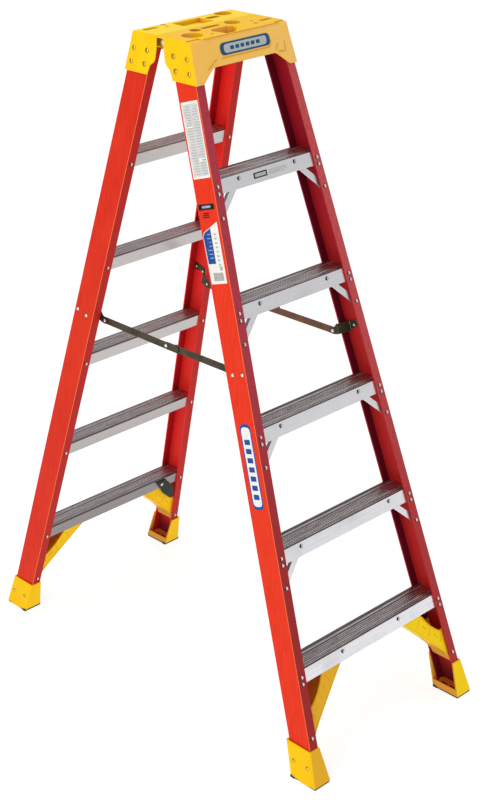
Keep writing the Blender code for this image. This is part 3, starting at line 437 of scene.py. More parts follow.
def zinc_steel():
    """Olive passivated zinc: cloudy plating, rub marks, worn edges, painted warm light on the arms'
    inner faces.
    """
    f = Finish("zinc_steel", 0.42, metallic=0.55)
    cloud = f.noise(26.0, 4.0)
    fine = f.noise(240.0, 4.0)
    rub = f.noise(1.0, 4.0, f.stretched((300, 24, 300)))
    colour = f.mix(f.span(cloud, 0.35, 0.68), (0.052, 0.036, 0.016), (0.030, 0.028, 0.010))
    # The arms' inner faces take a warm tone: painted light.
    inward = f.raw("MULTIPLY", f.raw("MULTIPLY", f.part(f.normal, "X"), f.part(f.place, "X")), -1.0)
    inner = f.span(inward, 0.05, 0.15)
    between = f.span(f.raw("ABSOLUTE", f.part(f.place, "Y")), 0.236, 0.228)
    warm = f.mix(f.span(cloud, 0.35, 0.68), (0.205, 0.074, 0.030), (0.125, 0.054, 0.036))
    colour = f.mix(f.math("MULTIPLY", inner, between), colour, warm)
    colour = f.mix(f.span(fine, 0.52, 0.72, 0.0, 0.4), colour, (0.095, 0.066, 0.036))
    colour = f.mix(f.span(rub, 0.64, 0.76, 0.0, 0.4), colour, (0.30, 0.27, 0.22))
    soft = f.add("ShaderNodeBevel", {"Radius": 0.0009}, samples=4).outputs["Normal"]
    sharp = f.add("ShaderNodeNewGeometry").outputs["Normal"]
    colour = f.mix(f.span(f.dot(soft, sharp), 0.80, 0.99, 0.75, 0.0), colour, (0.34, 0.32, 0.27))
    f.relief(fine, 0.00006, edge=0.0006)
    return f.paint(colour, f.span(cloud, 0.3, 0.75, 0.34, 0.56))


# Painted shade on a rivet head where it turns from the view.
SKIRT_SHADE = (0.045, 0.035, 0.030)


def bright_steel(name, light, dark, crescent=None):
    """Bright rivet steel, with painted shade round its skirt and in its seat and, if told, over a
    crescent of the head.

    The crescent is (the way its side looks, its colour, the lean at which it begins).
    """
    f = Finish(name, 0.26, metallic=1.0)
    cloud = f.noise(180.0, 4.0)
    colour = f.mix(f.span(cloud, 0.35, 0.7), light, dark)
    # Where a head turns from the view it darkens: painted shade.
    turned = f.add("ShaderNodeLayerWeight", {"Blend": 0.5}).outputs["Facing"]
    colour = f.mix(f.span(turned, 0.38, 0.66, 0.0, 0.9), colour, SKIRT_SHADE)
    shadow = f.span(f.occlusion(0.0016), 0.35, 0.85)
    colour = f.mix(shadow, (0.08, 0.07, 0.06), colour)
    if crescent:
        # The crescent: painted shade.
        way, shade, start = crescent
        colour = f.mix(f.span(f.dot(f.normal, way), start, start + 0.15), colour, shade)
    f.relief(cloud, 0.00004, edge=0.0003)
    return f.paint(colour, f.span(cloud, 0.3, 0.7, 0.20, 0.38))


def black_plastic():
    f = Finish("black_plastic", 0.5)
    f.feed(f.shader, {"Specular IOR Level": 0.16})
    grain = f.noise(800.0, 2.0)
    cloud = f.noise(40.0, 4.0)
    colour = f.mix(f.span(cloud, 0.4, 0.75), (0.016, 0.019, 0.017), (0.035, 0.040, 0.034))
    f.relief(grain, 0.00006, edge=0.0007)
    return f.paint(colour, f.span(cloud, 0.3, 0.75, 0.42, 0.60))


def print_ink(name, colour, worn, roughness=0.38):
    """A printed sheet: slight unevenness, edge scuffs and a soft sheen."""
    f = Finish(name, roughness)
    f.feed(f.shader, {"Specular IOR Level": 0.08})
    cloud = f.noise(55.0, 4.0)
    scuff = f.noise(1.0, 5.0, f.stretched((300, 300, 60)))
    shade = f.mix(f.span(cloud, 0.35, 0.75, 0.0, 0.7), colour, worn)
    shade = f.mix(f.span(scuff, 0.68, 0.80, 0.0, 0.4), shade, worn)
    f.relief(cloud, 0.00003)
    return f.paint(shade, f.span(cloud, 0.3, 0.7, roughness - 0.06, roughness + 0.14))


# Rail tones, painted light and shade that differ by frame: inner web low down, inside of the
# channel, outer web twice, inner web high up
RAIL_TONES = {
    "front": ((0.47, 0.017, 0.016), (0.14, 0.006, 0.018), (0.82, 0.038, 0.010),
              (0.70, 0.026, 0.008), (0.34, 0.008, 0.018)),
    "rear": ((0.86, 0.026, 0.020), (0.46, 0.012, 0.018), (0.71, 0.030, 0.009),
             (0.60, 0.020, 0.008), (0.97, 0.024, 0.016)),
}
# Tones of the moulded plastic: outward faces on the left and on the right (painted sheen and
# shade), faces that look up (painted light), hollows (painted shade), and how far round a point its
# hollow is felt, in metres
CAP_TONES = {
    "front": ((0.96, 0.55, 0.120), (0.96, 0.57, 0.140), (0.97, 0.57, 0.030),
              (0.64, 0.28, 0.030), 0.035),
    "rear": ((0.96, 0.55, 0.120), (0.96, 0.57, 0.140), (1.00, 0.72, 0.050),
             (0.68, 0.32, 0.030), 0.035),
}
# The feet's tones in the same order, painted the same way
FOOT_TONES = ((0.84, 0.45, 0.026), (1.00, 0.69, 0.008), (0.92, 0.52, 0.010),
              (0.30, 0.060, 0.012), 0.080)
# Light and dark tones of the ribs; the rear frame's are lighter as painted light
RIB_TONES = {
    "front": ((0.88, 0.81, 0.82), (0.44, 0.375, 0.385)),
    "rear": ((0.98, 0.95, 0.95), (0.60, 0.540, 0.540)),
}
# Light and dark tones of each steel, and its crescent of painted shade if it has one
STEELS = {
    "bright_steel": ((0.88, 0.87, 0.85), (0.64, 0.63, 0.61)),
    "rail_steel": ((0.88, 0.87, 0.85), (0.64, 0.63, 0.61),
                   ((-1, 0, 0), (0.10, 0.030, 0.025), 0.30)),
    "worn_steel": ((0.72, 0.71, 0.73), (0.50, 0.49, 0.51),
                   ((-1, 0, 0), (0.030, 0.028, 0.032), 0.10)),
    "cap_steel": ((0.97, 0.70, 0.090), (0.80, 0.52, 0.050),
                  ((0, 1, 0), (0.050, 0.028, 0.002), -0.12)),
    "dull_steel": ((0.92, 0.62, 0.080), (0.62, 0.42, 0.060),
                   ((0, 1, 0), (0.100, 0.058, 0.006), -0.05)),
}
# Fresh and worn tones of each ink, and its roughness if it is rougher than a label's
INKS = {
    "tread_dirt": ((0.085, 0.064, 0.066), (0.15, 0.12, 0.12), 0.6),
    # Moulded lines on the foot braces, darker: painted shade.
    "brace_line": ((0.80, 0.36, 0.012), (0.86, 0.44, 0.02), 0.5),
    # Moulded lines on the cap, darker: painted shade.
    "cap_line": ((0.62, 0.33, 0.030), (0.74, 0.42, 0.05), 0.5),
    # Rings under rivet heads and the shoes' drain slots: painted shade.
    "rivet_ring": ((0.030, 0.018, 0.012), (0.07, 0.045, 0.03), 0.6),
    "print_white": ((0.86, 0.84, 0.80), (0.74, 0.72, 0.69)),
    "print_pale": ((0.60, 0.60, 0.58), (0.68, 0.67, 0.65)),
    "print_grey": ((0.42, 0.42, 0.41), (0.52, 0.51, 0.50)),
    "print_dark": ((0.010, 0.007, 0.009), (0.035, 0.022, 0.022)),
    "print_blue": ((0.010, 0.062, 0.300), (0.030, 0.110, 0.350)),
    "print_slate": ((0.020, 0.085, 0.160), (0.040, 0.120, 0.200)),
    "print_silver": ((0.42, 0.46, 0.50), (0.52, 0.54, 0.56)),
    "print_sky": ((0.27, 0.36, 0.56), (0.36, 0.44, 0.60)),
}
STYLES = {"rubber": rubber(), "zinc_steel": zinc_steel(), "black_plastic": black_plastic()}
for slope in SLOPES:
    name = slope.name
    STYLES[f"fibreglass_{name}"] = fibreglass(slope, RAIL_TONES[name])
    STYLES[f"step_aluminium_{name}"] = aluminium(slope)
    STYLES[f"cap_plastic_{name}"] = yellow_plastic(slope, "cap", *CAP_TONES[name])
    STYLES[f"yellow_plastic_{name}"] = yellow_plastic(slope, "foot", *FOOT_TONES)
    STYLES[f"tread_ribs_{name}"] = worn_ribs(slope, *RIB_TONES[name])
STYLES.update({name: bright_steel(name, *tones) for name, tones in STEELS.items()})
STYLES.update({name: print_ink(name, *tones) for name, tones in INKS.items()})


def style_for(node):
    slot = MATERIAL_SLOTS[node]
    side = "rear" if BODIES[node].startswith("rear") else "front"
    if "top_cap" in node:
        return STYLES[f"cap_plastic_{side}"]
    return STYLES.get(slot) or STYLES[f"{slot}_{side}"]


for node_name, node_object in NODES.items():
    node_object.data.materials.clear()
    node_object.data.materials.append(style_for(node_name))


# ---- building pieces

def add_object(name, data):
    item = bpy.data.objects.new(name, data)
    bpy.context.scene.collection.objects.link(item)
    return item


def close_piece(name, work, body, style, sharp=40):
    """Turns a bmesh into a piece riding on a body, smooth except over sharp corners."""
    bmesh.ops.recalc_face_normals(work, faces=work.faces)
    mesh = bpy.data.meshes.new(name)
    work.to_mesh(mesh)
    work.free()
    mesh.materials.append(STYLES[style])
    mesh.shade_smooth()
    mesh.set_sharp_from_angle(angle=math.radians(sharp))
    item = add_object(name, mesh)
    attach(item, body)


def add_upright(work, plan, low, high):
    """An upright closed body between two heights."""
    add_prism(work, *([Vector((x, y, z)) for x, y in plan] for z in (low, high)))


def add_prism(work, outline, other):
    """A closed body between two outlines with the same number of points."""
    low = [work.verts.new(point) for point in outline]
    high = [work.verts.new(point) for point in other]
    work.faces.new(low[::-1])
    work.faces.new(high)
    for i in range(len(low)):
        j = (i + 1) % len(low)
        work.faces.new((low[i], low[j], high[j], high[i]))


def add_turned(work, centre, axis, profile, sides):
    """A closed turned body: the profile is (radius, height) in millimetres, from axis to axis."""
    spin = axis.to_track_quat("Z", "Y").to_matrix().to_4x4()
    place = Matrix.Translation(centre) @ spin
    rings = []
    for radius, height in profile:
        count = sides if radius else 1
        ring = []
        for i in range(count):
            turn = 2 * math.pi * i / count
            local = Vector((radius * math.cos(turn), radius * math.sin(turn), height)) * MM
            ring.append(work.verts.new(place @ local))
        rings.append(ring)
    for low, high in zip(rings, rings[1:]):
        for i in range(sides):
            j = (i + 1) % sides
            corners = (low[i % len(low)], low[j % len(low)],
                       high[j % len(high)], high[i % len(high)])
            unique = list(dict.fromkeys(corners))
            if len(unique) > 2:
                work.faces.new(unique)


def rounded(points, radius, steps=3):
    """An outline with its corners rounded."""
    result = []
    count = len(points)
    for i, point in enumerate(points):
        here = Vector(point)
        before = (Vector(points[i - 1]) - here)
        after = (Vector(points[(i + 1) % count]) - here)
        reach = min(radius, before.length * 0.45, after.length * 0.45)
        start = here + before.normalized() * reach
        end = here + after.normalized() * reach
        for step in range(steps + 1):
            t = step / steps
            result.append(tuple(start * (1 - t) ** 2 + here * 2 * t * (1 - t) + end * t ** 2))
    return result


def block(low_a, low_b, high_a, high_b):
    """The outline of an upright rectangle."""
    return [(low_a, low_b), (high_a, low_b), (high_a, high_b), (low_a, high_b)]


def sheets(name, surface, outlines, lift, thickness, ink):
    """Thin printed sheets laid on a surface of the front frame, together one piece."""
    work = bmesh.new()
    for outline in outlines:
        low = [surface(a, b, lift) for a, b in outline]
        high = [surface(a, b, lift + thickness) for a, b in outline]
        add_prism(work, low, high)
    close_piece(name, work, FRONT.body, f"print_{ink}")


# ---- rivets

# Radius and height of a domed head in millimetres, measured from the surface it is set on.
DOME = ((0.0, 0.1), (5.0, 0.1), (5.1, 0.4), (4.8, 1.05), (4.3, 1.65), (3.6, 2.2), (2.8, 2.55),
        (2.0, 2.72), (1.5, 2.62), (1.3, 2.42), (0.0, 2.42))
RIVET_SIDES = 18
RING_HEIGHT = 0.18
RING_BEVEL = 0.4
# Radius of the dark ring of painted shadow round a head, by the finish of what it is set in
RING_RADII = {"yellow_plastic": 5.4, "step_aluminium": 5.6}
RING_RADIUS = 5.9
# Height of the CAD's own heads, which the domes cover
HEAD_HEIGHT = 2.3
# Kinds of head, by the second word of the node's name, and the finish of each kind
HEAD_KINDS = {"shoe": "_shoe", "step": "_step", "top": "_cap"}
HEAD_STYLES = {"": "bright_steel", "_shoe": "dull_steel", "_step": "worn_steel",
               "_cap": "cap_steel", "_flange": "rail_steel"}


def build_rivets():
    """Domes over the CAD's rivet heads and dark rings of painted shadow under them, gathered by
    body and finish.
    """
    domes, rings = {}, {}
    for node in NODES:
        body = BODIES[node]
        node_kind = HEAD_KINDS.get(node.split("_")[1], "")
        radius = RING_RADII.get(MATERIAL_SLOTS[node], RING_RADIUS)
        ring = ((0.0, 0.0), (radius, 0.0), (radius, RING_HEIGHT / 2),
                (radius - RING_BEVEL, RING_HEIGHT), (0.0, RING_HEIGHT))
        for centre, out in head_centres(node):
            kind = "_flange" if not node_kind and abs(out.y) > 0.5 else node_kind
            seat = centre - out * HEAD_HEIGHT * MM
            for group, key, profile in ((domes, (body, kind), DOME), (rings, body, ring)):
                if key not in group:
                    group[key] = bmesh.new()
                add_turned(group[key], seat, out, profile, RIVET_SIDES)
    for (body, kind), work in domes.items():
        close_piece(f"{body}{kind}_rivets", work, body, HEAD_STYLES[kind])
    for body, work in rings.items():
        close_piece(f"{body}_rivet_rings", work, body, "rivet_ring")


# ---- tread ribs

RIB_PITCH = 5.9
RIB_WIDTH = 2.9
RIB_HEIGHT = 0.55
RIB_CREST = 0.6
# The first and last ribs' least distance from the tread's edges, and the ribs' from its ends
RIB_FIRST = 1.7
RIB_LAST = 1.5
RIB_END = 1.5
DIRT_HEIGHT = 0.15
DIRT_END = 0.6
# Lengthwise lines where dirt settles, as shares of the tread's depth, with their widths; the two
# middle ones are the CAD's own grooves.
DIRT_LINES = ((0.055, 3.4), (0.26, 3.4), (0.745, 3.4), (0.90, 2.4))
# How far a rib may reach into such a line
LINE_CLEAR = 0.7
# Depths under the tread's top: what still counts as its top, and where a groove's floor lies
TOP_SLACK = 0.2
FLOOR_NEAR, FLOOR_FAR = 0.5, 3.0
FLOOR_EDGE = 0.3


def tread_lines(node):
    """The y of every lengthwise edge at the top of a tread, its height and its half length."""
    mesh = NODES[node].data
    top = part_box(node)[1][2]
    lines = set()
    reach = 0.0
    for face in facing(node, UP, 0.999):
        for index in face.vertices:
            point = mesh.vertices[index].co
            if point.z > top - TOP_SLACK * MM:
                lines.add(point.y)
                reach = max(reach, point.x)
    return min(lines), max(lines), top, reach


def groove_floor(node, y, top):
    """Height of the tread under a line: the groove's floor where there is one."""
    mesh = NODES[node].data
    for face in facing(node, UP, 0.999):
        points = [mesh.vertices[index].co for index in face.vertices]
        height = points[0].z
        if top - FLOOR_FAR * MM < height < top - FLOOR_NEAR * MM:
            low = min(p.y for p in points) - FLOOR_EDGE * MM
            high = max(p.y for p in points) + FLOOR_EDGE * MM
            if low < y < high:
                return height
    return top


def strip(work, y, width, low, high, reach, crest=1.0):
    """A straight run along the step: its foot has the full width, its crest a share of it."""
    foot, head = width / 2 * MM, width / 2 * crest * MM
    section = [(y - foot, low), (y + foot, low), (y + head, high), (y - head, high)]
    add_prism(work, [Vector((-reach, a, b)) for a, b in section],
              [Vector((reach, a, b)) for a, b in section])


def build_treads():
    """Serrated ribs along every tread, and dirt in the lines between them."""
    for slope in SLOPES:
        ribs = bmesh.new()
        dirt = bmesh.new()
        for number in range(1, 6):
            node = f"{slope.name}_step_{number}"
            low_y, high_y, top, reach = tread_lines(node)
            outer, inner = (low_y, high_y) if slope is FRONT else (high_y, low_y)
            depth = abs(inner - outer) / MM
            inward = 1 if inner > outer else -1
            position = RIB_FIRST
            while position < depth - RIB_LAST:
                if all(abs(position - share * depth) > (width + RIB_WIDTH) / 2 - LINE_CLEAR
                       for share, width in DIRT_LINES):
                    y = outer + inward * position * MM
                    strip(ribs, y, RIB_WIDTH, top, top + RIB_HEIGHT * MM,
                          reach - RIB_END * MM, RIB_CREST)
                position += RIB_PITCH
            for share, width in DIRT_LINES:
                y = outer + inward * share * depth * MM
                floor = groove_floor(node, y, top)
                strip(dirt, y, width, floor, floor + DIRT_HEIGHT * MM, reach - DIRT_END * MM)
        for name, work, style in (("ribs", ribs, f"tread_ribs_{slope.name}"),
                                  ("dirt", dirt, "tread_dirt")):
            close_piece(f"{slope.name}_tread_{name}", work, slope.body, style)


# ---- labels

def bars(low_a, high_a, low_b, high_b, pitch, height, seed, least=0.55):
    """Rows of plain bars, each of its own length."""
    draw = random.Random(seed)
    rows = []
    b = low_b
    while b + height <= high_b:
        end = low_a + (high_a - low_a) * draw.uniform(least, 1.0)
        rows.append(block(low_a, b, end, b + height))
        b += pitch
    return rows


# Thickness of the labels' layers
SHEET = 0.22
TOP_SHEET = 0.2
# Depth of a front step's apron behind the frame's outer flanges
APRON_DEPTH = 4.3


def build_labels():
    """Plain, wordless labels on the front left rail and on the top step's apron."""
    web = FRONT.on_web(-1)

    def web_sheets(name, outlines, layer, ink):
        sheets(f"label_{name}", web, outlines, SHEET * layer, SHEET, ink)

    web_sheets("upper", [rounded(block(4, 1530, 66, 1713), 2)], 0, "white")
    web_sheets("upper_field", [block(8, 1536, 62, 1707)], 1, "pale")
    web_sheets("upper_rows", bars(9, 34, 1540, 1704, 6.4, 2.0, 3)
               + bars(37, 61, 1540, 1704, 6.4, 2.0, 4), 2, "grey")
    web_sheets("upper_blocks", [block(10, 1570, 33, 1578), block(37, 1650, 60, 1656)],
               2, "white")
    web_sheets("dark", [rounded(block(9, 1455, 67, 1469), 1.5)], 0, "dark")
    web_sheets("dark_field", [rounded(block(22, 1459.5, 54, 1465), 2.6)], 1, "sky")
    web_sheets("dark_rows", bars(32, 58, 1436, 1450, 4.6, 2.6, 9, 0.8), 0, "dark")

    slanted = [(9, 1276), (66, 1276), (68, 1393), (62, 1402), (9, 1425)]
    web_sheets("lower", [rounded(slanted, 2)], 0, "white")
    field = [(37, 1325), (64, 1325), (66.5, 1393), (60, 1401), (37, 1411)]
    web_sheets("lower_field", [field], 1, "blue")
    web_sheets("lower_field_rows", bars(41, 60, 1338, 1398, 9.5, 2.4, 12, 0.4),
               2, "sky")
    web_sheets("lower_marks", bars(20, 29, 1320, 1404, 10.5, 4.2, 17, 0.7)
               + [block(16, 1308, 26, 1318)], 1, "grey")
    stripes = [block(18 + 2.6 * i, 1283, 18.9 + 2.6 * i, 1303) for i in range(14)]
    web_sheets("lower_stripes", stripes, 1, "dark")

    plate_low, plate_high = 715, 931
    web_sheets("tall", [rounded(block(16, plate_low, 56, plate_high), 16)], 0, "blue")
    web_sheets("tall_field", [rounded(block(20, plate_low + 8, 52, plate_high - 8), 12)],
               1, "white")
    tall_rows = [block(26, v, 46, v + 13) for v in range(plate_low + 26, plate_high - 34, 23)]
    web_sheets("tall_rows", [rounded(row, 2) for row in tall_rows], 2, "blue")

    apron = FRONT.on_depth(APRON_DEPTH)
    sheets("label_step", apron, [rounded(block(-47, 1495.5, -2, 1510), 1.5)], 0, SHEET,
           "dark")
    sheets("label_step_field", apron, [rounded(block(-43, 1498.5, -6, 1507), 1)], SHEET,
           TOP_SHEET, "grey")
    rows = bars(4, 72, 1496.5, 1509, 3.1, 1.7, 21, 0.7)
    sheets("label_step_rows", apron, rows, 0, TOP_SHEET, "grey")


# Centre of the badge on the cap's front face: across, and up the frame
BADGE_X, BADGE_V = 8, 1813
DASHES = 6
DASH_PITCH = 17


def build_badge():
    """A plain oblong plate on the cap's front face; returns how to place things on that face."""
    face = Plane("front_top_cap", (0, -1, 0))

    def place(x, v, lift=0.0):
        return face.meet(FRONT.point(x, 0, v), FRONT.depth) + face.normal * lift * MM

    def oblong(half_x, half_v, radius):
        outline = block(BADGE_X - half_x, BADGE_V - half_v, BADGE_X + half_x, BADGE_V + half_v)
        return rounded(outline, radius, 6)

    sheets("cap_badge", place, [oblong(82, 15, 14)], 0, 0.7, "slate")
    sheets("cap_badge_field", place, [oblong(70, 10.5, 10)], 0.7, 0.25, "silver")
    starts = [BADGE_X - 50 + DASH_PITCH * i for i in range(DASHES)]
    dashes = [block(start, BADGE_V - 4.5, start + 12, BADGE_V + 4.5) for start in starts]
    sheets("cap_badge_dashes", place, [rounded(dash, 1.5) for dash in dashes], 0.95, 0.2,
           "slate")
    return place


# ---- moulded detail

def add_bead(work, place, path, width, height):
    """A raised bead along a path on a surface, one closed body per straight run."""
    for (a0, b0), (a1, b1) in zip(path, path[1:]):
        along = Vector((a1 - a0, b1 - b0)).normalized()
        side = Vector((-along.y, along.x))
        section = ((-width / 2, -0.1), (width / 2, -0.1), (width / 4, height), (-width / 4, height))

        def ring(a, b, stretch):
            a, b = a + along.x * stretch, b + along.y * stretch
            return [place(a + side.x * s, b + side.y * s, h) for s, h in section]

        add_prism(work, ring(a0, b0, -width / 4), ring(a1, b1, width / 4))


# Moulded lines on the cap's front face: (across, up the frame), and their width and height
CAP_LINES = (
    ((-122, 1774), (-92, 1793)),
    ((-72, 1793), (82, 1793), (92, 1807)),
    ((112, 1778), (130, 1776)),
    ((135, 1776), (135, 1800)),
    ((104, 1783), (112, 1797)),
    ((-120, 1845), (130, 1845)),
)
CAP_BEAD = (2.6, 1.2)


def build_cap_beads(place):
    """The cap's moulded lines, as raised beads in a darker tone that is painted shade."""
    work = bmesh.new()
    for run in CAP_LINES:
        add_bead(work, place, run, *CAP_BEAD)
    close_piece("cap_front_beads", work, FRONT.body, "cap_line")


# Least cosine between a face of a foot brace and the frame's depth
SQUARE_ON = 0.995


def face_region(node, direction):
    """A bmesh of a CAD node's outermost flat face on one side, in as few faces as can be."""
    source = NODES[node].data
    plane = Plane(node, direction, SQUARE_ON)
    work = bmesh.new()
    made = {}
    for face in facing(node, direction, SQUARE_ON):
        start = source.vertices[face.vertices[0]].co
        if abs((start - plane.point).dot(plane.normal)) > ON_PLANE * MM:
            continue
        corners = []
        for index in face.vertices:
            point = source.vertices[index].co
            key = tuple(round(value, 6) for value in point)
            if key not in made:
                made[key] = work.verts.new(point)
            corners.append(made[key])
        if len(set(corners)) == len(corners):
            work.faces.new(corners)
    work.normal_update()
    bmesh.ops.dissolve_limit(work, angle_limit=math.radians(1), verts=work.verts,
                             edges=work.edges)
    work.normal_update()
    return work


RIM_WIDTH = 2.6
RIM_HEIGHT = 0.9


def build_brace_rims():
    """A raised rim round each foot brace's outer and inner faces."""
    for slope in SLOPES:
        rims = bmesh.new()
        for label in SIDES:
            node = f"{slope.name}_foot_brace_{label}"
            for direction in (slope.depth * -1, slope.depth):
                work = face_region(node, direction)
                rim = bmesh.ops.inset_region(
                    work, faces=work.faces[:], thickness=RIM_WIDTH * MM, use_even_offset=True,
                    use_boundary=True,
                )["faces"]
                centre = [face for face in work.faces if face not in rim]
                bmesh.ops.delete(work, geom=centre, context="FACES")
                lifted = bmesh.ops.extrude_face_region(work, geom=work.faces[:])
                moved = [item for item in lifted["geom"] if isinstance(item, bmesh.types.BMVert)]
                bmesh.ops.translate(work, vec=direction * RIM_HEIGHT * MM, verts=moved)
                bmesh.ops.recalc_face_normals(work, faces=work.faces)
                shape = bpy.data.meshes.new(node)
                work.to_mesh(shape)
                work.free()
                rims.from_mesh(shape)
                bpy.data.meshes.remove(shape)
        close_piece(f"{slope.name}_foot_brace_rims", rims, slope.body,
                    f"yellow_plastic_{slope.name}", sharp=30)


# Ribs on a foot brace's faces, in hundredths of its box: across from the inner end, and up from
# the lowest point. Their width is in the same measure; their height is in millimetres.
BRACE_RIBS = (
    ((88.1, 47.5), (78.9, 51.9), (67.6, 61.7), (58.9, 72.1), (52.4, 82.5)),
    ((40, 71), (45.5, 80)),
    ((50, 69), (54.5, 63)),
    ((58.5, 52), (63.5, 61.5)),
    ((69, 50), (73.5, 43)),
    ((79, 35), (83, 44)),
)
BRACE_BEAD = (1.1, 0.9)


def build_brace_ribs():
    """A curved rib and short strokes on each foot brace's outer and inner faces, in a darker orange
    that is painted shade.
    """
    for slope in SLOPES:
        work = bmesh.new()
        for label, side in SIDES.items():
            node = f"{slope.name}_foot_brace_{label}"
            low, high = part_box(node)
            inner_x, outer_x = (high[0], low[0]) if side < 0 else (low[0], high[0])
            for direction in (slope.depth * -1, slope.depth):
                face = Plane(node, direction, SQUARE_ON)

                def place(u, w, lift=0.0):
                    flat = Vector((inner_x + (outer_x - inner_x) * u / 100, 0,
                                   low[2] + (high[2] - low[2]) * w / 100))
                    return face.meet(flat, Vector((0, 1, 0))) + face.normal * lift * MM

                for run in BRACE_RIBS:
                    add_bead(work, place, run, *BRACE_BEAD)
        close_piece(f"{slope.name}_foot_brace_ribs", work, slope.body, "brace_line")


BEND_BEAD = (1.6, 0.8)
# How far the line stops short of the bend's ends, and how near the bend a corner must be
BEND_END, BEND_SLACK = 0.5, 0.3
# Each rivet's distance from the bend and its rise over the bend's middle, and its size as a share
# of the other rivets'
BRACKET_HEADS = ((13, 0), (41, 2))
BRACKET_HEAD_SHARE = 0.72


def build_bracket_details():
    """A bright line on each bracket's bend, which is a painted highlight, and the rivets that hold
    it to the rail's web.
    """
    for slope in SLOPES:
        work = bmesh.new()
        for label, side in SIDES.items():
            node = f"{slope.name}_spreader_bracket_{label}"
            vertices = NODES[node].data.vertices
            faces = facing(node, (-side, 0, 0), 0.999)
            plate_x = max(abs(vertices[face.vertices[0]].co.x) for face in faces)
            corners = [vertices[index].co - slope.foot for face in faces for index in face.vertices
                       if plate_x - abs(vertices[index].co.x) < ON_PLANE * MM]
            bend = max(corner.dot(slope.depth) for corner in corners)
            edge = [corner.dot(slope.up) / MM for corner in corners
                    if bend - corner.dot(slope.depth) < BEND_SLACK * MM]

            def place(d, v, lift=0.0):
                point = slope.point(0, d, v)
                point.x = side * (plate_x - lift * MM)
                return point

            bend_d = bend / MM
            # The bend's bright line: painted highlight.
            line = ((bend_d, min(edge) + BEND_END), (bend_d, max(edge) - BEND_END))
            add_bead(work, place, line, *BEND_BEAD)
            middle = (min(edge) + max(edge)) / 2
            small = [(radius * BRACKET_HEAD_SHARE, height * BRACKET_HEAD_SHARE)
                     for radius, height in DOME]
            for inset, rise in BRACKET_HEADS:
                seat = place(bend_d - inset, middle + rise)
                add_turned(work, seat, Vector((-side, 0, 0)), small, RIVET_SIDES)
        close_piece(f"{slope.name}_bracket_details", work, slope.body, "bright_steel")


# Slots in a shoe's ledge: depth and height of two opposite corners
SHOE_SLOTS = (block(14, 13.5, 32, 18), block(38, 13.5, 58, 18))
SLOT_ROUND = 1.2
# The ledge's distance from the shoe's inner side, and the inlay's two faces over the ledge
LEDGE = 16
SLOT_LIFTS = (0.05, 0.35)


def build_shoe_slots():
    """Dark drain slots in the ledge inside each shoe, laid on as thin sheets: painted shade in the
    slots.
    """
    for slope in SLOPES:
        work = bmesh.new()
        for label, side in SIDES.items():
            low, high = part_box(f"{slope.name}_shoe_{label}")
            face_x = (low[0] if side > 0 else high[0]) + side * LEDGE * MM
            for slot in SHOE_SLOTS:
                rings = []
                for lift in SLOT_LIFTS:
                    ring = []
                    for d, z in rounded(slot, SLOT_ROUND):
                        base = slope.foot + slope.depth * d * MM
                        point = base + slope.up * ((z * MM - base.z) / slope.up.z)
                        ring.append(Vector((face_x - side * lift * MM, point.y, point.z)))
                    rings.append(ring)
                add_prism(work, *rings)
        close_piece(f"{slope.name}_shoe_slots", work, slope.body, "rivet_ring")


PAD_TOOTH, PAD_PITCH, PAD_START = 3.0, 6.0, 1.5
# How far the teeth stand out from the pad's sides, and end below its top
PAD_PROUD = 1.1
PAD_TOP = 0.3
# Larger teeth at the corners towards the other frame: count, length and pitch along the side,
# the first one's overhang, how far they reach out and in, and their falling heights
CORNER_TEETH = 3
CORNER_LENGTH = 4.4
CORNER_PITCH = 5.0
CORNER_OVERHANG = 1.2
CORNER_OUT, CORNER_IN = 1.0, 2.0
CORNER_HEIGHT, CORNER_FALL = 7.5, 1.2


def build_pad_teeth():
    """Rubber teeth round the rim of each pad, under the shoe's edge."""
    for slope in SLOPES:
        work = bmesh.new()
        for label in SIDES:
            node = f"{slope.name}_shoe_pad_{label}"
            low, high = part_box(node)
            top = high[2] - PAD_TOP * MM
            proud = PAD_PROUD * MM
            side_x = high[0] if SIDES[label] < 0 else low[0]
            spans = ((0, low[0], high[0], low[1]), (0, low[0], high[0], high[1]),
                     (1, low[1], high[1], side_x))
            shoe_low, shoe_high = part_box(f"{slope.name}_shoe_{label}")
            for along, start, end, edge in spans:
                near, far = edge - proud, edge + proud
                position = start + PAD_START * MM
                while position + PAD_TOOTH * MM < end:
                    stop = position + PAD_TOOTH * MM
                    if along == 0:
                        plan = [(position, near), (stop, near), (stop, far), (position, far)]
                    else:
                        plan = [(near, position), (far, position), (far, stop), (near, stop)]
                    add_upright(work, plan, low[2], top)
                    position += PAD_PITCH * MM
            inner_y = high[1] if slope is FRONT else low[1]
            turn = 1 if slope is FRONT else -1
            for edge_x, out in ((shoe_low[0], -1), (shoe_high[0], 1)):
                outer_x = edge_x + out * CORNER_OUT * MM
                inner_x = edge_x - out * CORNER_IN * MM
                for step in range(CORNER_TEETH):
                    start = inner_y + turn * (CORNER_OVERHANG - CORNER_PITCH * step) * MM
                    stop = start - turn * CORNER_LENGTH * MM
                    crest = low[2] + (CORNER_HEIGHT - CORNER_FALL * step) * MM
                    plan = [(outer_x, start), (outer_x, stop), (inner_x, stop), (inner_x, start)]
                    add_upright(work, plan, low[2], crest)
        close_piece(f"{slope.name}_pad_teeth", work, slope.body, "rubber")


# ---- studio

FLOOR_SIZE = 14.0
FLOOR_GAP = 0.3
SURROUND_LIGHT = 0.66
SURROUND_SEEN = 1.05
# The camera, as solved for the object's edges: its place, azimuth, elevation and roll, and its
# lens on a sensor 36 mm high
CAMERA_PLACE = (-2.7152, -2.9752, 2.6239)
CAMERA_ANGLES = (-43.092, 23.351, -1.349)
CAMERA_LENS = 74.764
CAMERA_SHIFT = (0.0020, -0.0525)


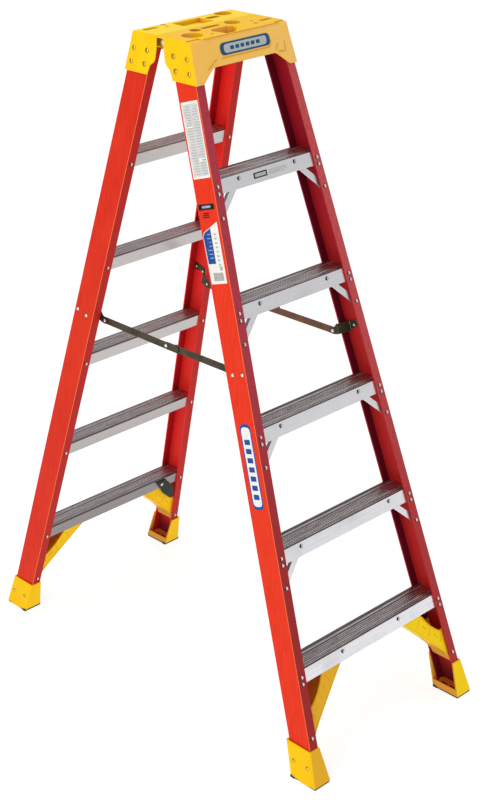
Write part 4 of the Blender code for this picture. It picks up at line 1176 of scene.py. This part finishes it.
def add_area(name, location, target, size, energy):
    """A round lamp that looks at a point."""
    lamp = bpy.data.lights.new(name, "AREA")
    lamp.shape = "DISK"
    lamp.size = size
    lamp.energy = energy
    item = add_object(name, lamp)
    item.location = location
    item.rotation_euler = (Vector(target) - item.location).to_track_quat("-Z", "Y").to_euler()


def build_floor():
    """A pale floor just below the feet, with a little light of its own so that it stays white."""
    work = bmesh.new()
    bmesh.ops.create_grid(work, x_segments=2, y_segments=2, size=FLOOR_SIZE)
    mesh = bpy.data.meshes.new("studio_floor")
    work.to_mesh(mesh)
    work.free()
    finish = Finish("studio_floor", 0.7)
    mist = finish.noise(0.6, 2.0)
    finish.feed(finish.shader, {"Emission Color": (1, 1, 1, 1), "Emission Strength": 0.70,
                                "Specular IOR Level": 0.1})
    mesh.materials.append(finish.paint(finish.mix(mist, (0.47, 0.47, 0.47), (0.44, 0.44, 0.44))))
    floor = add_object("studio_floor", mesh)
    floor.location = (0, 0, CAD_BOX[0][2] - FLOOR_GAP * MM)


def build_world():
    """An even white surround, brighter to the camera than to the object."""
    world = bpy.data.worlds.new("studio")
    bpy.context.scene.world = world
    world.use_nodes = True
    nodes = world.node_tree.nodes
    links = world.node_tree.links
    plain, seen = nodes["Background"], nodes.new("ShaderNodeBackground")
    for node, strength in ((plain, SURROUND_LIGHT), (seen, SURROUND_SEEN)):
        node.inputs["Color"].default_value = (1, 1, 1, 1)
        node.inputs["Strength"].default_value = strength
    path = nodes.new("ShaderNodeLightPath")
    blend = nodes.new("ShaderNodeMixShader")
    links.new(path.outputs["Is Camera Ray"], blend.inputs[0])
    links.new(plain.outputs[0], blend.inputs[1])
    links.new(seen.outputs[0], blend.inputs[2])
    links.new(blend.outputs[0], nodes["World Output"].inputs["Surface"])


def build_lamps():
    """Soft lamps: (name, place, what it is aimed at, size, power in watts)."""
    add_area("key", (-4.2, -0.8, 2.6), (0, 0, 0.9), 2.2, 48)
    add_area("top", (-0.6, 0.4, 4.6), (0, 0, 0.6), 2.6, 30)


def build_camera():
    """The camera at the photo's angle."""
    azimuth, elevation, roll = map(math.radians, CAMERA_ANGLES)
    flat = math.cos(elevation)
    look = Vector((-math.sin(azimuth) * flat, math.cos(azimuth) * flat, -math.sin(elevation)))
    level = Vector((math.cos(azimuth), math.sin(azimuth), 0))
    upright = level.cross(look)
    right = level * math.cos(roll) + upright * math.sin(roll)
    up = upright * math.cos(roll) - level * math.sin(roll)
    camera = bpy.data.cameras.new("camera")
    item = add_object("camera", camera)
    turn = Matrix((right, up, -look)).transposed().to_4x4()
    item.matrix_world = Matrix.Translation(CAMERA_PLACE) @ turn
    camera.sensor_fit = "VERTICAL"
    camera.sensor_height = 36.0
    camera.lens = CAMERA_LENS
    camera.shift_x, camera.shift_y = CAMERA_SHIFT
    bpy.context.scene.camera = item


build_rivets()
build_treads()
build_labels()
badge_place = build_badge()
build_cap_beads(badge_place)
build_brace_rims()
build_brace_ribs()
build_bracket_details()
build_shoe_slots()
build_pad_teeth()
build_floor()
build_world()
build_lamps()
build_camera()
bpy.context.scene.view_settings.view_transform = "Standard"
